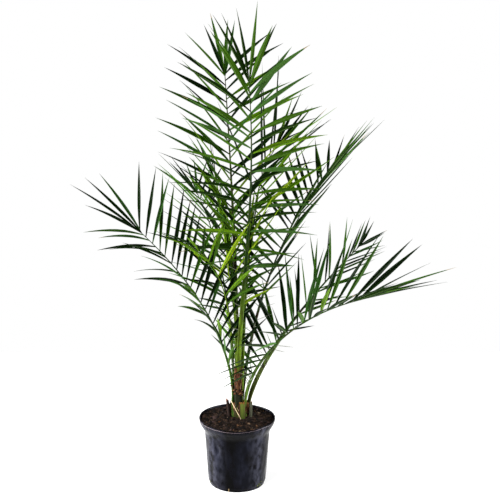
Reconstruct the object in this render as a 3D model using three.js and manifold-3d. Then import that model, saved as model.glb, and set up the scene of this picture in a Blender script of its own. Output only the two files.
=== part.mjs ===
// A young date palm in a black nursery pot, as an assembly of closed solids.
// Millimetres and degrees. +Z is up, +X to the right and -Y to the front.
// The origin is the centre of the pot's flat underside.
import * as THREE from 'three';
import { mergeVertices } from 'three/addons/utils/BufferGeometryUtils.js';
import Module from 'manifold-3d';

const wasm = await Module();
wasm.setup();

// ---- driving dimensions ----

const GAP = 0.3; // air kept between neighbouring solids

const POT = {
  height: 215,
  rimRadius: 120,
  neckRadius: 103, // where the flared rim meets the wall
  neckHeight: 172,
  flareStart: [0.14, 0.17], // shares of the flare's width and height, low on its curve
  flareEnd: [0.86, 0.66], // the same, just under the lip
  lipHeight: 6.5,
  lipWidth: 4.8,
  lipEdge: 1.8, // bevel along the top of the lip
  footRadius: 91.5,
  footHeight: 9, // height of the recessed foot ring
  footRecess: 3,
  footEdge: 1.5,
  floor: 6.9, // height of the floor inside
  floorBevel: 8, // how far up the wall the floor's bevel reaches
  wall: 2.4,
  sides: 40,
  drains: 6,
  drainRadius: 6,
  drainRing: 74,
  drainSides: 8,
};

const SOIL = {
  level: 211,
  levelRadius: 70,
  crown: 8, // how much higher it is round the stem
  crownMargin: 8, // how far the crown reaches past the stem
  dip: 3, // how much lower it is at the pot's wall
  edgeFlare: 0.86, // share of the flare's width that it reaches
};

const STEM = { // the short fibrous stem that carries the fronds
  centre: [12, 4],
  foot: [27, 18], // half widths along X and Y at the soil
  waist: [31, 21.5],
  top: [32, 23.5],
  height: 45,
  lobes: 9, // old sheaths that wrap round the stem
  lobeDepth: 0.05,
  sides: 36,
};
const STEM_FOOT = SOIL.level + SOIL.crown + GAP;
const STEM_TOP = STEM_FOOT + STEM.height;
const FROND_FOOT = STEM_TOP + GAP;

const SHEATH = { // brown fibre round the front of the tallest stalk
  height: 140,
  thickness: 1.9,
  clearance: 0.4,
  slant: 38, // how steeply its top is torn off
  steps: 5,
  sides: 12,
};

const STUMPS = [ // cut stalks of fronds that were removed
  { name: 'stump_left', at: [-25, -7], size: [13, 8], height: 58, heading: 205, lean: 7 },
  { name: 'stump_front', at: [16, -28], size: [22, 7.5], height: 55, heading: 275, lean: 2 },
  { name: 'stump_right', at: [43, -15], size: [8, 6], height: 50, heading: 315, lean: 4 },
];

const RIB = {
  tipWidth: 2.6,
  tipThickness: 2.4,
  taper: 0.9,
  leafyStart: 0.02, // how far below its first leaflet the leafy rib parts from the stalk
  stalkSides: 8,
  stalkSteps: 8,
  leafySides: 4,
  leafySteps: 12,
};

const LEAF = {
  depth: 1 / 80, // depth of the folded blade at its widest, as a share of the length
  leastDepth: 2,
  widest: 0.34, // where along the leaflet it is widest
  rootSize: 0.4, // width and depth inside the rib, as a share of the largest
  rootFit: 0.7, // most that the root may take up of the rib's width
  scatter: 6, // spread of the angles
  slant: 25, // how far a blade is turned about its own axis
  slantScatter: 35,
  lengthScatter: 0.08,
  clearance: 0.6, // least air to anything on another frond
  free: 0.14, // share of the length past which it keeps clear of its own frond too
};
const LAST_LEAVES = [ // leaflets at the rib's tip: angle to the rib, share of the length, side
  [5, 0.99, 1],
  [10, 1.1, -1],
  [16, 0.94, 1],
  [21, 0.88, -1],
];
const LAST_LEAF_START = 0.985; // share of the rib's length where they grow
const LAST_LEAF_WIDTH = 0.38;
// Where a leaflet would touch another frond it is turned by one of these: splay and lift.
const SHIFTS = [
  [0, 0], [0, 8], [0, -8], [6, 0], [-6, 0], [5, 14], [-5, -14], [9, -10], [-9, 10], [0, 20], [0, -20],
];

// What most fronds share. Angles: rise is the rib's slope at its foot and tip, splay the
// leaflets' angle to the rib at the first pair and at the tip, lift their angle above the
// rib's own plane. Pairs are turned by fan and fanLift in turn one way and the other.
// Lengths of leaflets are shares of the frond's longest one.
const USUAL = {
  look: 'frond', turn: 0, ease: 1, pairs: 16, splay: [85, 30], splayEase: 1.8, fan: 0, fullest: 0.4,
  firstLeaf: 0.8, lastLeaf: 0.85, lift: 25, fanLift: 0, roll: 0, twist: 0, droop: 0.05,
  leftShare: 1, leafWidth: 13,
};

const FRONDS = [
  {
    name: 'front_tall', foot: [4, -13], stalk: [21, 12], length: 1035, heading: -46, turn: -57,
    rise: [96, 67.5], ease: 0.52, bare: 0.43, pairs: 20, splay: [86, 27], splayEase: 2.2, fan: 6,
    leaf: 240, leafWidth: 17, firstLeaf: 0.76, fullest: 0.75, lastLeaf: 0.95, leftShare: 0.93,
    lift: 10, roll: 6, twist: 9, droop: 0.1, seed: 3244,
  },
  {
    name: 'left_arching', foot: [-14, -8], stalk: [11, 9], length: 645, heading: 195,
    rise: [101, 44.5], ease: 0.5, bare: 0.2, pairs: 20, splay: [50, 50], leaf: 260, leafWidth: 12,
    fullest: 0.2, lastLeaf: 0.98, leftShare: 1.15, lift: 41, roll: 45, twist: 16, droop: 0.11,
    seed: 1578,
  },
  {
    name: 'right_low', foot: [25, -12], stalk: [13, 9], length: 540, heading: -18,
    rise: [90, 17.5], ease: 0.63, bare: 0.18, pairs: 18, splay: [90, 33], splayEase: 1.5,
    leaf: 285, fullest: 0.2, lastLeaf: 0.95, lift: 32, roll: -29, twist: 20, seed: 43,
  },
  {
    name: 'right_low_back', foot: [37.5, -0.5], stalk: [12, 9], length: 690, heading: 25,
    turn: 26, rise: [85.5, 21.5], ease: 0.45, bare: 0.32, pairs: 14, splay: [53, 20],
    splayEase: 1, fan: 3, leaf: 180, leafWidth: 11, firstLeaf: 0.46, fullest: 0.56,
    lastLeaf: 0.65, leftShare: 1.05, lift: 26, fanLift: -2, roll: -35, twist: -10, droop: -0.03,
    seed: 3012,
  },
  {
    name: 'right_high', foot: [16, 14], stalk: [11, 8], length: 885, heading: 43, turn: 8,
    rise: [82.5, 24], ease: 1.2, bare: 0.36, pairs: 19, splay: [69, 17], splayEase: 2.3,
    leaf: 300, leafWidth: 13.5, firstLeaf: 0.9, fullest: 0.12, lastLeaf: 0.82, leftShare: 0.76,
    lift: 36, roll: -10, twist: 20, droop: 0, seed: 97,
  },
  {
    name: 'back_tall', foot: [-1, 11.5], stalk: [12, 9], length: 1060, heading: 106, turn: -9,
    rise: [93, 60], ease: 1.1, bare: 0.51, pairs: 18, splay: [47, 67], splayEase: 0.5, fan: 6,
    leaf: 275, leafWidth: 17, firstLeaf: 1, fullest: 0.1, lastLeaf: 0.81, lift: 36, fanLift: -6,
    roll: 8, twist: -5, droop: 0.08, seed: 3434,
  },
  {
    name: 'right_upright', look: 'youngFrond', foot: [12.5, 0.5], stalk: [10, 9], length: 835,
    heading: 58, turn: -2, rise: [86, 34], ease: 3.9, bare: 0.54, pairs: 12, splay: [61, 36],
    leaf: 285, leafWidth: 14, lastLeaf: 0.76, leftShare: 1.2, lift: 50, twist: -45, droop: -0.03,
    seed: 1315,
  },
  {
    name: 'young_spear', look: 'youngFrond', foot: [1.5, -0.3], stalk: [8.5, 8.5], length: 750,
    heading: 149, turn: -18, rise: [91, 71], ease: 1.2, bare: 0.4, pairs: 13, splay: [41, 12],
    splayEase: 1.5, fan: 6, leaf: 205, leafWidth: 10.5, firstLeaf: 0.68, fullest: 0.1,
    lastLeaf: 0.6, leftShare: 1.3, lift: 11, roll: 59, twist: 40, droop: 0.15, seed: 3921,
  },
  {
    name: 'left_inner', foot: [-9, 1.5], stalk: [8, 8], length: 560, heading: 221, turn: 11,
    rise: [88.5, 27], ease: 2.7, bare: 0.36, pairs: 10, splay: [67, 28], splayEase: 1.1,
    leaf: 215, firstLeaf: 0.3, fullest: 0.7, lastLeaf: 0.8, leftShare: 1.2, lift: 20, roll: 12,
    twist: -16, droop: 0.13, seed: 2661,
  },
  {
    name: 'back_arching', foot: [-9, 19], stalk: [10, 8], length: 740, heading: 110, turn: 4,
    rise: [86, 30], ease: 1.3, bare: 0.36, splay: [80, 28], leaf: 230, firstLeaf: 0.6, lift: 28,
    seed: 77,
  },
].map((frond) => ({ ...USUAL, ...frond }));

const LOOKS = {
  pot: { color: '#1b1d22', roughness: 0.32, metalness: 0 },
  soil: { color: '#3a2419', roughness: 0.95, metalness: 0 },
  fibre: { color: '#5a3a22', roughness: 0.9, metalness: 0 },
  stump: { color: '#4c5a26', roughness: 0.75, metalness: 0 },
  stalk: { color: '#5d8a26', roughness: 0.5, metalness: 0 },
  frond: { color: '#2f6a22', roughness: 0.5, metalness: 0 },
  youngFrond: { color: '#6ba32c', roughness: 0.5, metalness: 0 },
};

// ---- helpers ----

const radians = THREE.MathUtils.degToRad;
const mix = THREE.MathUtils.lerp;
const vector = (x, y, z) => new THREE.Vector3(x, y, z);

// A number from 0 to 1 that depends only on the seed, the leaflet and the draw.
function chance(seed, leaflet, draw) {
  const wave = Math.sin(seed * 12.9898 + leaflet * 78.233 + draw * 37.719) * 43758.5453;
  return wave - Math.floor(wave);
}
const spread = (seed, leaflet, draw) => 2 * chance(seed, leaflet, draw) - 1;

// A closed three.js geometry as a solid.
function solid(geometry) {
  const bare = geometry.clone();
  for (const name of Object.keys(bare.attributes)) {
    if (name !== 'position') bare.deleteAttribute(name);
  }
  const merged = mergeVertices(bare, 1e-4);
  const corners = merged.index.array;
  const kept = [];
  for (let i = 0; i < corners.length; i += 3) {
    const [a, b, c] = [corners[i], corners[i + 1], corners[i + 2]];
    if (a !== b && b !== c && c !== a) kept.push(a, b, c);
  }
  return new wasm.Manifold(new wasm.Mesh({
    numProp: 3,
    vertProperties: Float32Array.from(merged.attributes.position.array),
    triVerts: Uint32Array.from(kept),
  }));
}

// A solid as a named three.js mesh with the look of its material.
function named(name, body, look) {
  const { vertProperties, triVerts } = body.getMesh();
  const geometry = new THREE.BufferGeometry();
  geometry.setAttribute('position', new THREE.BufferAttribute(Float32Array.from(vertProperties), 3));
  geometry.setIndex(Array.from(triVerts));
  geometry.computeVertexNormals();
  const mesh = new THREE.Mesh(geometry, new THREE.MeshStandardMaterial(LOOKS[look]));
  mesh.name = name;
  return mesh;
}

// The closed skin through rings of points, each ring counterclockwise about the way the
// loft runs. A ring of one point is a pointed end, and the other ends are flat.
function loft(rings) {
  const points = rings.flat();
  const index = [];
  let start = 0;
  for (let r = 0; r + 1 < rings.length; r += 1) {
    const here = rings[r].length;
    const next = rings[r + 1].length;
    for (let i = 0; i < Math.max(here, next); i += 1) {
      const a = start + (i % here);
      const b = start + ((i + 1) % here);
      const c = start + here + ((i + 1) % next);
      const d = start + here + (i % next);
      if (here > 1) index.push(a, b, c);
      if (next > 1) index.push(a, c, d);
    }
    start += here;
  }
  for (let i = 1; i + 1 < rings[0].length; i += 1) index.push(0, i + 1, i);
  for (let i = 1; i + 1 < rings.at(-1).length; i += 1) index.push(start, start + i, start + i + 1);
  return new THREE.BufferGeometry().setFromPoints(points).setIndex(index);
}

// A ring of points on an ellipse in the plane of two directions.
function ring(centre, across, halfAcross, up, halfUp, sides) {
  return Array.from({ length: sides }, (_, i) => {
    const angle = (2 * Math.PI * (i + 0.5)) / sides;
    return centre.clone()
      .addScaledVector(up, halfUp * Math.cos(angle))
      .addScaledVector(across, halfAcross * Math.sin(angle));
  });
}

// ---- pot and soil ----

function turned(outline) {
  const profile = outline.map(([radius, height]) => new THREE.Vector2(radius, height));
  return solid(new THREE.LatheGeometry(profile, POT.sides).rotateX(Math.PI / 2));
}

// Radius of the pot's outer wall between the foot ring and the neck.
function wallRadius(height) {
  const share = (height - POT.footHeight) / (POT.neckHeight - POT.footHeight);
  return mix(POT.footRadius, POT.neckRadius, share);
}

// Radius and height of a point on the outside of the flare, given as shares of both.
function flarePoint([width, height]) {
  return [
    mix(POT.neckRadius, POT.rimRadius, width),
    mix(POT.neckHeight, POT.height, height),
  ];
}

function makePot() {
  const { height, rimRadius, neckRadius, neckHeight, footRadius, footHeight, wall } = POT;
  const ringRadius = footRadius - POT.footRecess;
  const bevelTop = footHeight + POT.floorBevel;
  const [startRadius, startHeight] = flarePoint(POT.flareStart);
  const [endRadius, endHeight] = flarePoint(POT.flareEnd);
  const outline = [
    [0, 0],
    [ringRadius - POT.footEdge, 0],
    [ringRadius, POT.footEdge],
    [ringRadius, footHeight - POT.footEdge],
    [footRadius, footHeight],
    [neckRadius, neckHeight],
    [startRadius, startHeight],
    [endRadius, endHeight],
    [rimRadius, height - POT.lipHeight],
    [rimRadius, height - POT.lipEdge],
    [rimRadius - POT.lipEdge, height],
    [rimRadius - POT.lipWidth, height],
    [endRadius - 1.5 * wall, endHeight],
    [startRadius - 1.2 * wall, startHeight],
    [neckRadius - wall, neckHeight],
    [wallRadius(bevelTop) - wall, bevelTop],
    [ringRadius - 2 * wall, POT.floor],
    [0, POT.floor],
  ];
  let pot = turned(outline);
  for (let i = 0; i < POT.drains; i += 1) {
    const angle = (2 * Math.PI * (i + 0.5)) / POT.drains;
    const { drainRadius, drainSides, floor } = POT;
    const drain = new THREE.CylinderGeometry(drainRadius, drainRadius, 4 * floor, drainSides)
      .rotateX(Math.PI / 2)
      .translate(POT.drainRing * Math.cos(angle), POT.drainRing * Math.sin(angle), 0);
    pot = pot.subtract(solid(drain));
  }
  return pot;
}

// The soil fills the pot to just under its rim, and is a little higher round the stem.
function makeSoil() {
  const { neckRadius, neckHeight, wall } = POT;
  const air = wall + 2 * GAP;
  const floor = POT.floor + GAP;
  const bevelTop = POT.footHeight + POT.floorBevel;
  const [startRadius, startHeight] = flarePoint(POT.flareStart);
  const [edgeRadius] = flarePoint([SOIL.edgeFlare, 0]);
  const stemReach = STEM.foot[0] + STEM.centre[0] + SOIL.crownMargin;
  return turned([
    [0, floor],
    [POT.footRadius - POT.footRecess - wall - air, floor],
    [wallRadius(bevelTop) - air, bevelTop + GAP],
    [neckRadius - air, neckHeight],
    [startRadius - 0.2 * wall - air, startHeight],
    [edgeRadius - 0.5 * wall - air, SOIL.level - SOIL.dip],
    [SOIL.levelRadius, SOIL.level],
    [stemReach, SOIL.level + SOIL.crown],
    [0, SOIL.level + SOIL.crown],
  ]);
}

// ---- stem and stumps ----

function makeStem() {
  const { centre, foot, waist, top, height, lobes, lobeDepth, sides } = STEM;
  const levels = [
    [0, foot, 0.4],
    [0.18, [mix(foot[0], waist[0], 0.55), mix(foot[1], waist[1], 0.55)], 0.8],
    [0.45, waist, 1],
    [0.75, [waist[0], waist[1]], 1.2],
    [0.94, top, 1.2],
    [1, [top[0] - 2, top[1] - 2], 1],
  ];
  return solid(loft(levels.map(([share, half, depth]) => Array.from({ length: sides }, (_, i) => {
    const angle = (2 * Math.PI * i) / sides;
    const lobe = 1 + depth * lobeDepth * Math.cos(lobes * angle + 2.4 * share);
    return vector(
      centre[0] + half[0] * lobe * Math.cos(angle),
      centre[1] + half[1] * lobe * Math.sin(angle),
      STEM_FOOT + share * height,
    );
  }))));
}

// A cut stalk: a flat-sided stub that leans outwards and is sliced off at a slant.
function makeStump({ at, size, height, heading, lean }) {
  const out = vector(Math.cos(radians(heading)), Math.sin(radians(heading)), 0);
  const across = vector(-out.y, out.x, 0);
  const tilt = Math.tan(radians(lean));
  const levels = [[0, 1], [0.35, 1.04], [0.7, 0.92], [0.9, 0.8]];
  const place = (share) => vector(at[0], at[1], STEM_FOOT + share * height)
    .addScaledVector(out, share * height * tilt);
  const rings = levels.map(([share, width]) => (
    ring(place(share), across, (width * size[0]) / 2, out, (width * size[1]) / 2, 10)
  ));
  for (const point of rings.at(-1)) {
    const inward = place(0.9).sub(point).dot(out);
    point.z += 0.1 * height * (1 + (1.6 * inward) / size[1]);
  }
  return solid(loft(rings));
}

// ---- fronds ----

// The rib's middle line. Its slope eases from the foot's to the tip's, and its heading turns
// evenly. At each share s of the length it gives the place and three directions: along the
// rib, across it in the leaflets' plane, and up out of that plane.
function ribOf(frond) {
  const steps = 48;
  const slope = (s) => radians(mix(frond.rise[0], frond.rise[1], s ** frond.ease));
  const bearing = (s) => radians(frond.heading + frond.turn * s);
  const along = (s) => vector(
    Math.cos(slope(s)) * Math.cos(bearing(s)),
    Math.cos(slope(s)) * Math.sin(bearing(s)),
    Math.sin(slope(s)),
  );
  const places = [vector(frond.foot[0], frond.foot[1], FROND_FOOT)];
  for (let i = 0; i < steps; i += 1) {
    const step = along((i + 0.5) / steps).multiplyScalar(frond.length / steps);
    places.push(places[i].clone().add(step));
  }
  return (s) => {
    const i = Math.min(Math.floor(s * steps), steps - 1);
    const level = vector(Math.sin(bearing(s)), -Math.cos(bearing(s)), 0);
    const tangent = along(s);
    const lean = radians(frond.roll + frond.twist * s);
    return {
      place: places[i].clone().lerp(places[i + 1], s * steps - i),
      along: tangent,
      across: level.clone().applyAxisAngle(tangent, -lean),
      up: tangent.clone().cross(level).negate().applyAxisAngle(tangent, -lean),
    };
  };
}

// Half width and half thickness of the rib at a share of its length.
function ribHalf(frond, s) {
  const left = (1 - s) ** RIB.taper;
  return [mix(RIB.tipWidth, frond.stalk[0], left) / 2, mix(RIB.tipThickness, frond.stalk[1], left) / 2];
}

function levelled(points, height) {
  return points.map((point) => vector(point.x, point.y, height));
}

// The rings of a stretch of rib, made wider all round by an extra.
function ribRings(frond, from, to, steps, sides, extra = 0) {
  const rib = ribOf(frond);
  return Array.from({ length: steps + 1 }, (_, i) => {
    const s = mix(from, to, i / steps);
    const { place, across, up } = rib(s);
    const [halfWidth, halfThickness] = ribHalf(frond, s);
    const points = ring(place, across, halfWidth + extra, up, halfThickness + extra, sides);
    return s === 0 ? levelled(points, FROND_FOOT) : points;
  });
}

const stalkEnd = (frond) => frond.bare - RIB.leafyStart;

function stalkRings(frond, extra = 0) {
  const end = stalkEnd(frond) - GAP / frond.length;
  return ribRings(frond, 0, end, RIB.stalkSteps, RIB.stalkSides, extra);
}

function leafyRings(frond) {
  return ribRings(frond, stalkEnd(frond), 1, RIB.leafySteps, RIB.leafySides);
}

// One leaflet: a folded blade from inside the rib to a point, with three edges: two along its
// sides, and a ridge below them where it folds. It can be made thicker by what is grown, and
// start a share of its length away from the rib.
function leafletSolid(leaflet, grown = 0, from = 0) {
  const { root, along, width, normal, foldSide, length, halfWidth, droop, rootSize } = leaflet;
  const deep = Math.max(length * LEAF.depth, LEAF.leastDepth);
  const station = (share, size) => {
    const middle = root.clone()
      .addScaledVector(along, share * length)
      .add(vector(0, 0, -droop * length * share * share));
    const edge = size * halfWidth + 2 * grown;
    const high = foldSide * ((size * deep) / 3 + grown);
    const corners = [
      middle.clone().addScaledVector(width, edge).addScaledVector(normal, high),
      middle.clone().addScaledVector(width, -edge).addScaledVector(normal, high),
      middle.clone().addScaledVector(normal, -2 * high),
    ];
    return foldSide > 0 ? corners : corners.reverse();
  };
  const tip = root.clone().addScaledVector(along, length + 2 * grown).add(vector(0, 0, -droop * length));
  const firstSize = mix(rootSize, 1, from / LEAF.widest);
  return solid(loft([station(from, firstSize), station(LEAF.widest, 1), [tip]]));
}

// ---- leaflets ----

// Length of the leaflet at a share u of the leafy stretch, as a share of the longest one:
// it grows in a quarter sine up to the fullest place, then falls off towards the tip.
function lengthShare(frond, u) {
  const { firstLeaf, lastLeaf, fullest } = frond;
  if (u < fullest) return mix(firstLeaf, 1, Math.sin((Math.PI / 2) * (u / fullest)));
  return mix(1, lastLeaf, ((u - fullest) / (1 - fullest)) ** 1.5);
}

// Every leaflet of a frond as a function of the turn (splay, lift) that it is given.
function leafletsOf(frond) {
  const rib = ribOf(frond);
  const { seed, pairs, bare, leafWidth, droop } = frond;
  const list = [];
  for (let i = 0; i < pairs; i += 1) {
    const way = i % 2 === 0 ? 1 : -1;
    for (const side of [1, -1]) {
      const k = list.length + 1;
      const u = THREE.MathUtils.clamp((i + 0.5 + 0.22 * side + 0.25 * spread(seed, k, 1)) / pairs, 0, 1);
      const share = lengthShare(frond, u);
      const splay = mix(frond.splay[0], frond.splay[1], u ** frond.splayEase);
      const s = mix(bare, 1, u);
      list.push({
        at: rib(s),
        ribHalfWidth: ribHalf(frond, s)[0],
        side,
        splay: splay + way * frond.fan + LEAF.scatter * spread(seed, k, 2),
        lift: frond.lift + way * frond.fanLift + 1.6 * LEAF.scatter * spread(seed, k, 3),
        length: frond.leaf * share * (1 + LEAF.lengthScatter * spread(seed, k, 4))
          * (side < 0 ? frond.leftShare : 1),
        halfWidth: (leafWidth * mix(0.75, 1, share)) / 2,
        slant: -side * LEAF.slant + LEAF.slantScatter * spread(seed, k, 5),
        last: false,
      });
    }
  }
  for (const [angle, share, side] of LAST_LEAVES) {
    list.push({
      at: rib(LAST_LEAF_START),
      ribHalfWidth: RIB.tipWidth / 2,
      side,
      splay: angle,
      lift: frond.lift,
      length: frond.leaf * frond.lastLeaf * share,
      halfWidth: LAST_LEAF_WIDTH * leafWidth,
      slant: 0,
      last: true,
    });
  }
  return list.map((leaflet) => ({ ...leaflet, droop }));
}

function placedLeaflet(leaflet, [moreSplay, moreLift]) {
  const { at, side, splay, lift, slant, length, halfWidth, droop, last, ribHalfWidth } = leaflet;
  const angle = radians(splay + (last ? moreLift / 2 : moreSplay));
  const raised = radians(lift + moreLift);
  const along = at.along.clone().multiplyScalar(Math.cos(angle))
    .addScaledVector(at.across, side * Math.sin(angle) * Math.cos(raised))
    .addScaledVector(at.up, Math.sin(angle) * Math.sin(raised));
  const edgeways = last ? at.across : at.along;
  const flat = edgeways.clone().addScaledVector(along, -edgeways.dot(along)).normalize();
  const width = flat.applyAxisAngle(along, radians(slant));
  return {
    root: at.place,
    along,
    width,
    normal: along.clone().cross(width),
    foldSide: last ? -1 : side,
    length,
    halfWidth,
    droop,
    rootSize: Math.min(LEAF.rootSize, (LEAF.rootFit * ribHalfWidth) / halfWidth),
  };
}

// ---- clearing ----

function boxesMeet(a, b) {
  return [0, 1, 2].every((i) => a.min[i] <= b.max[i] && b.min[i] <= a.max[i]);
}

const obstacles = []; // solids that leaflets keep clear of, with the frond that owns them

function keepClearOf(body, owner) {
  obstacles.push({ body, owner, box: body.boundingBox() });
}

function isClear(placed, owner) {
  const whole = leafletSolid(placed, LEAF.clearance);
  const beyondRib = leafletSolid(placed, LEAF.clearance, LEAF.free);
  const box = whole.boundingBox();
  return obstacles.every((other) => (
    !boxesMeet(box, other.box)
    || (other.owner === owner ? beyondRib : whole).intersect(other.body).isEmpty()
  ));
}

// The parts fused to one skin, with any hollow that they seal between them filled.
function fused(parts) {
  const skins = wasm.Manifold.union(parts).decompose();
  return skins.sort((a, b) => b.volume() - a.volume())[0];
}

function bladeSolid(frond, ribBody) {
  const parts = [ribBody];
  for (const leaflet of leafletsOf(frond)) {
    const free = SHIFTS
      .map((shift) => placedLeaflet(leaflet, shift))
      .find((placed) => isClear(placed, frond.name));
    if (!free) continue;
    const body = leafletSolid(free);
    parts.push(body);
    keepClearOf(body, frond.name);
  }
  return fused(parts);
}

// ---- brown fibre sheath on the front of the tallest stalk ----

function makeSheath(frond) {
  const { height, clearance, thickness, steps, sides, slant } = SHEATH;
  const outside = ribRings(frond, 0, height / frond.length, steps, sides, clearance + thickness);
  const inside = stalkRings(frond, clearance);
  const below = levelled(inside[0], FROND_FOOT - 1);
  const [x, y] = frond.foot;
  const size = 2 * height;
  const back = new THREE.BoxGeometry(size, size, 2 * size).translate(x, y + height + 1, FROND_FOOT);
  const top = new THREE.BoxGeometry(size, size, size)
    .translate(0, 0, height)
    .rotateY(radians(slant))
    .translate(x, y, FROND_FOOT + 0.82 * height);
  return solid(loft(outside))
    .subtract(solid(loft([below, ...inside])))
    .subtract(solid(back))
    .subtract(solid(top));
}

// ---- assembly ----

const palm = new THREE.Group();
const stem = makeStem();
const [tallest] = FRONDS;
const sheath = makeSheath(tallest);
palm.add(named('pot', makePot(), 'pot'));
palm.add(named('soil', makeSoil(), 'soil'));
palm.add(named('stem', stem, 'fibre'));
palm.add(named('sheath', sheath, 'fibre'));
keepClearOf(stem, null);
keepClearOf(sheath, null);
for (const stump of STUMPS) {
  const body = makeStump(stump);
  palm.add(named(stump.name, body, 'stump'));
  keepClearOf(body, null);
}

const ribs = FRONDS.map((frond) => {
  const stalk = solid(loft(stalkRings(frond)));
  const leafy = solid(loft(leafyRings(frond)));
  keepClearOf(stalk, null);
  keepClearOf(leafy, frond.name);
  return { frond, stalk, leafy };
});
for (const { frond, stalk, leafy } of ribs) {
  palm.add(named(`stalk_${frond.name}`, stalk, 'stalk'));
  palm.add(named(`frond_${frond.name}`, bladeSolid(frond, leafy), frond.look));
}

export default palm;
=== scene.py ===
# %% [markdown]
# # A young date palm in a nursery pot
#
# Ten feather-shaped fronds grow out of a short fibrous stem that stands in a thin black pot.
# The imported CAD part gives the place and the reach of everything. This lesson dresses it:
# each CAD piece is replaced by a finer surface, worked out with numpy, and gets its finish.
# Lengths of the plant and the pot are in millimetres until a mesh is made. Those of the
# camera, the lamps, the floor and the relief of the finishes are in metres.

import bpy
import numpy as np
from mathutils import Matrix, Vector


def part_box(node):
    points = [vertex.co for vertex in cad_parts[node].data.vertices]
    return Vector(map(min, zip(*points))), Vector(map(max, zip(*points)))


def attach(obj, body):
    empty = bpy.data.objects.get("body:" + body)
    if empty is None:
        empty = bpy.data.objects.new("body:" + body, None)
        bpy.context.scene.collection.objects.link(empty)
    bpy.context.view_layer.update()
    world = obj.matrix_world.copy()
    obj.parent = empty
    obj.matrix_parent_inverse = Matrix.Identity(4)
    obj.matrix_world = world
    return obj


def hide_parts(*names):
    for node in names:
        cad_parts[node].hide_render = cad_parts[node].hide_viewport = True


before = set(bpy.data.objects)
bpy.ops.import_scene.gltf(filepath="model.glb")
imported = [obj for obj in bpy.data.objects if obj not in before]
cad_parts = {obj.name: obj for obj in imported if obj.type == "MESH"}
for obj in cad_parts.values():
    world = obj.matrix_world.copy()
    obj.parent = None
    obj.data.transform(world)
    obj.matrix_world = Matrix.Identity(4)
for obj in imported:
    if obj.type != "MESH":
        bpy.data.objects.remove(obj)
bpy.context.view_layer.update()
MM = 0.001


def cad_box(node):
    """Lowest and highest corner of a CAD node, in millimetres."""
    low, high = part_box(node)
    return np.array(low) / MM, np.array(high) / MM


# %% [markdown]
# ## Small tools
#
# Nearly everything on a palm is a tube: a rib, a spine, a fibre, and even a leaflet or the pot
# itself is a row of closed rings. So one helper turns rings of points into closed skins. It
# takes many tubes at once, because a frond has dozens of leaflets.


# %% Rings into closed skins
def tube_faces(rings_per_tube, points_per_ring):
    """Faces of one closed tube: quads between neighbouring rings, and at both ends a fan of
    triangles to a middle point. Triangles are written as quads that repeat a corner."""
    r, n = rings_per_tube, points_per_ring
    step, around = np.meshgrid(np.arange(r - 1), np.arange(n), indexing="ij")
    here = step * n + around
    beside = step * n + (around + 1) % n
    walls = np.stack([here, beside, beside + n, here + n], axis=-1).reshape(-1, 4)
    i = np.arange(n)
    j = (i + 1) % n
    first = np.stack([j, i, np.full(n, r * n), np.full(n, -1)], axis=-1)
    last = np.stack([(r - 1) * n + i, (r - 1) * n + j, np.full(n, r * n + 1), np.full(n, -1)], axis=-1)
    return walls, np.concatenate([first, last])


def signed_volumes(points, walls, caps):
    """Six times the volume that each tube encloses: the sum of a . (b x c) over its triangles."""
    corners = np.concatenate([walls[:, [0, 1, 2]], walls[:, [0, 2, 3]], caps[:, :3]])
    a, b, c = (points[:, corners[:, k]] for k in range(3))
    return np.einsum("tij,tij->t", a, np.cross(b, c))


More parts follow.
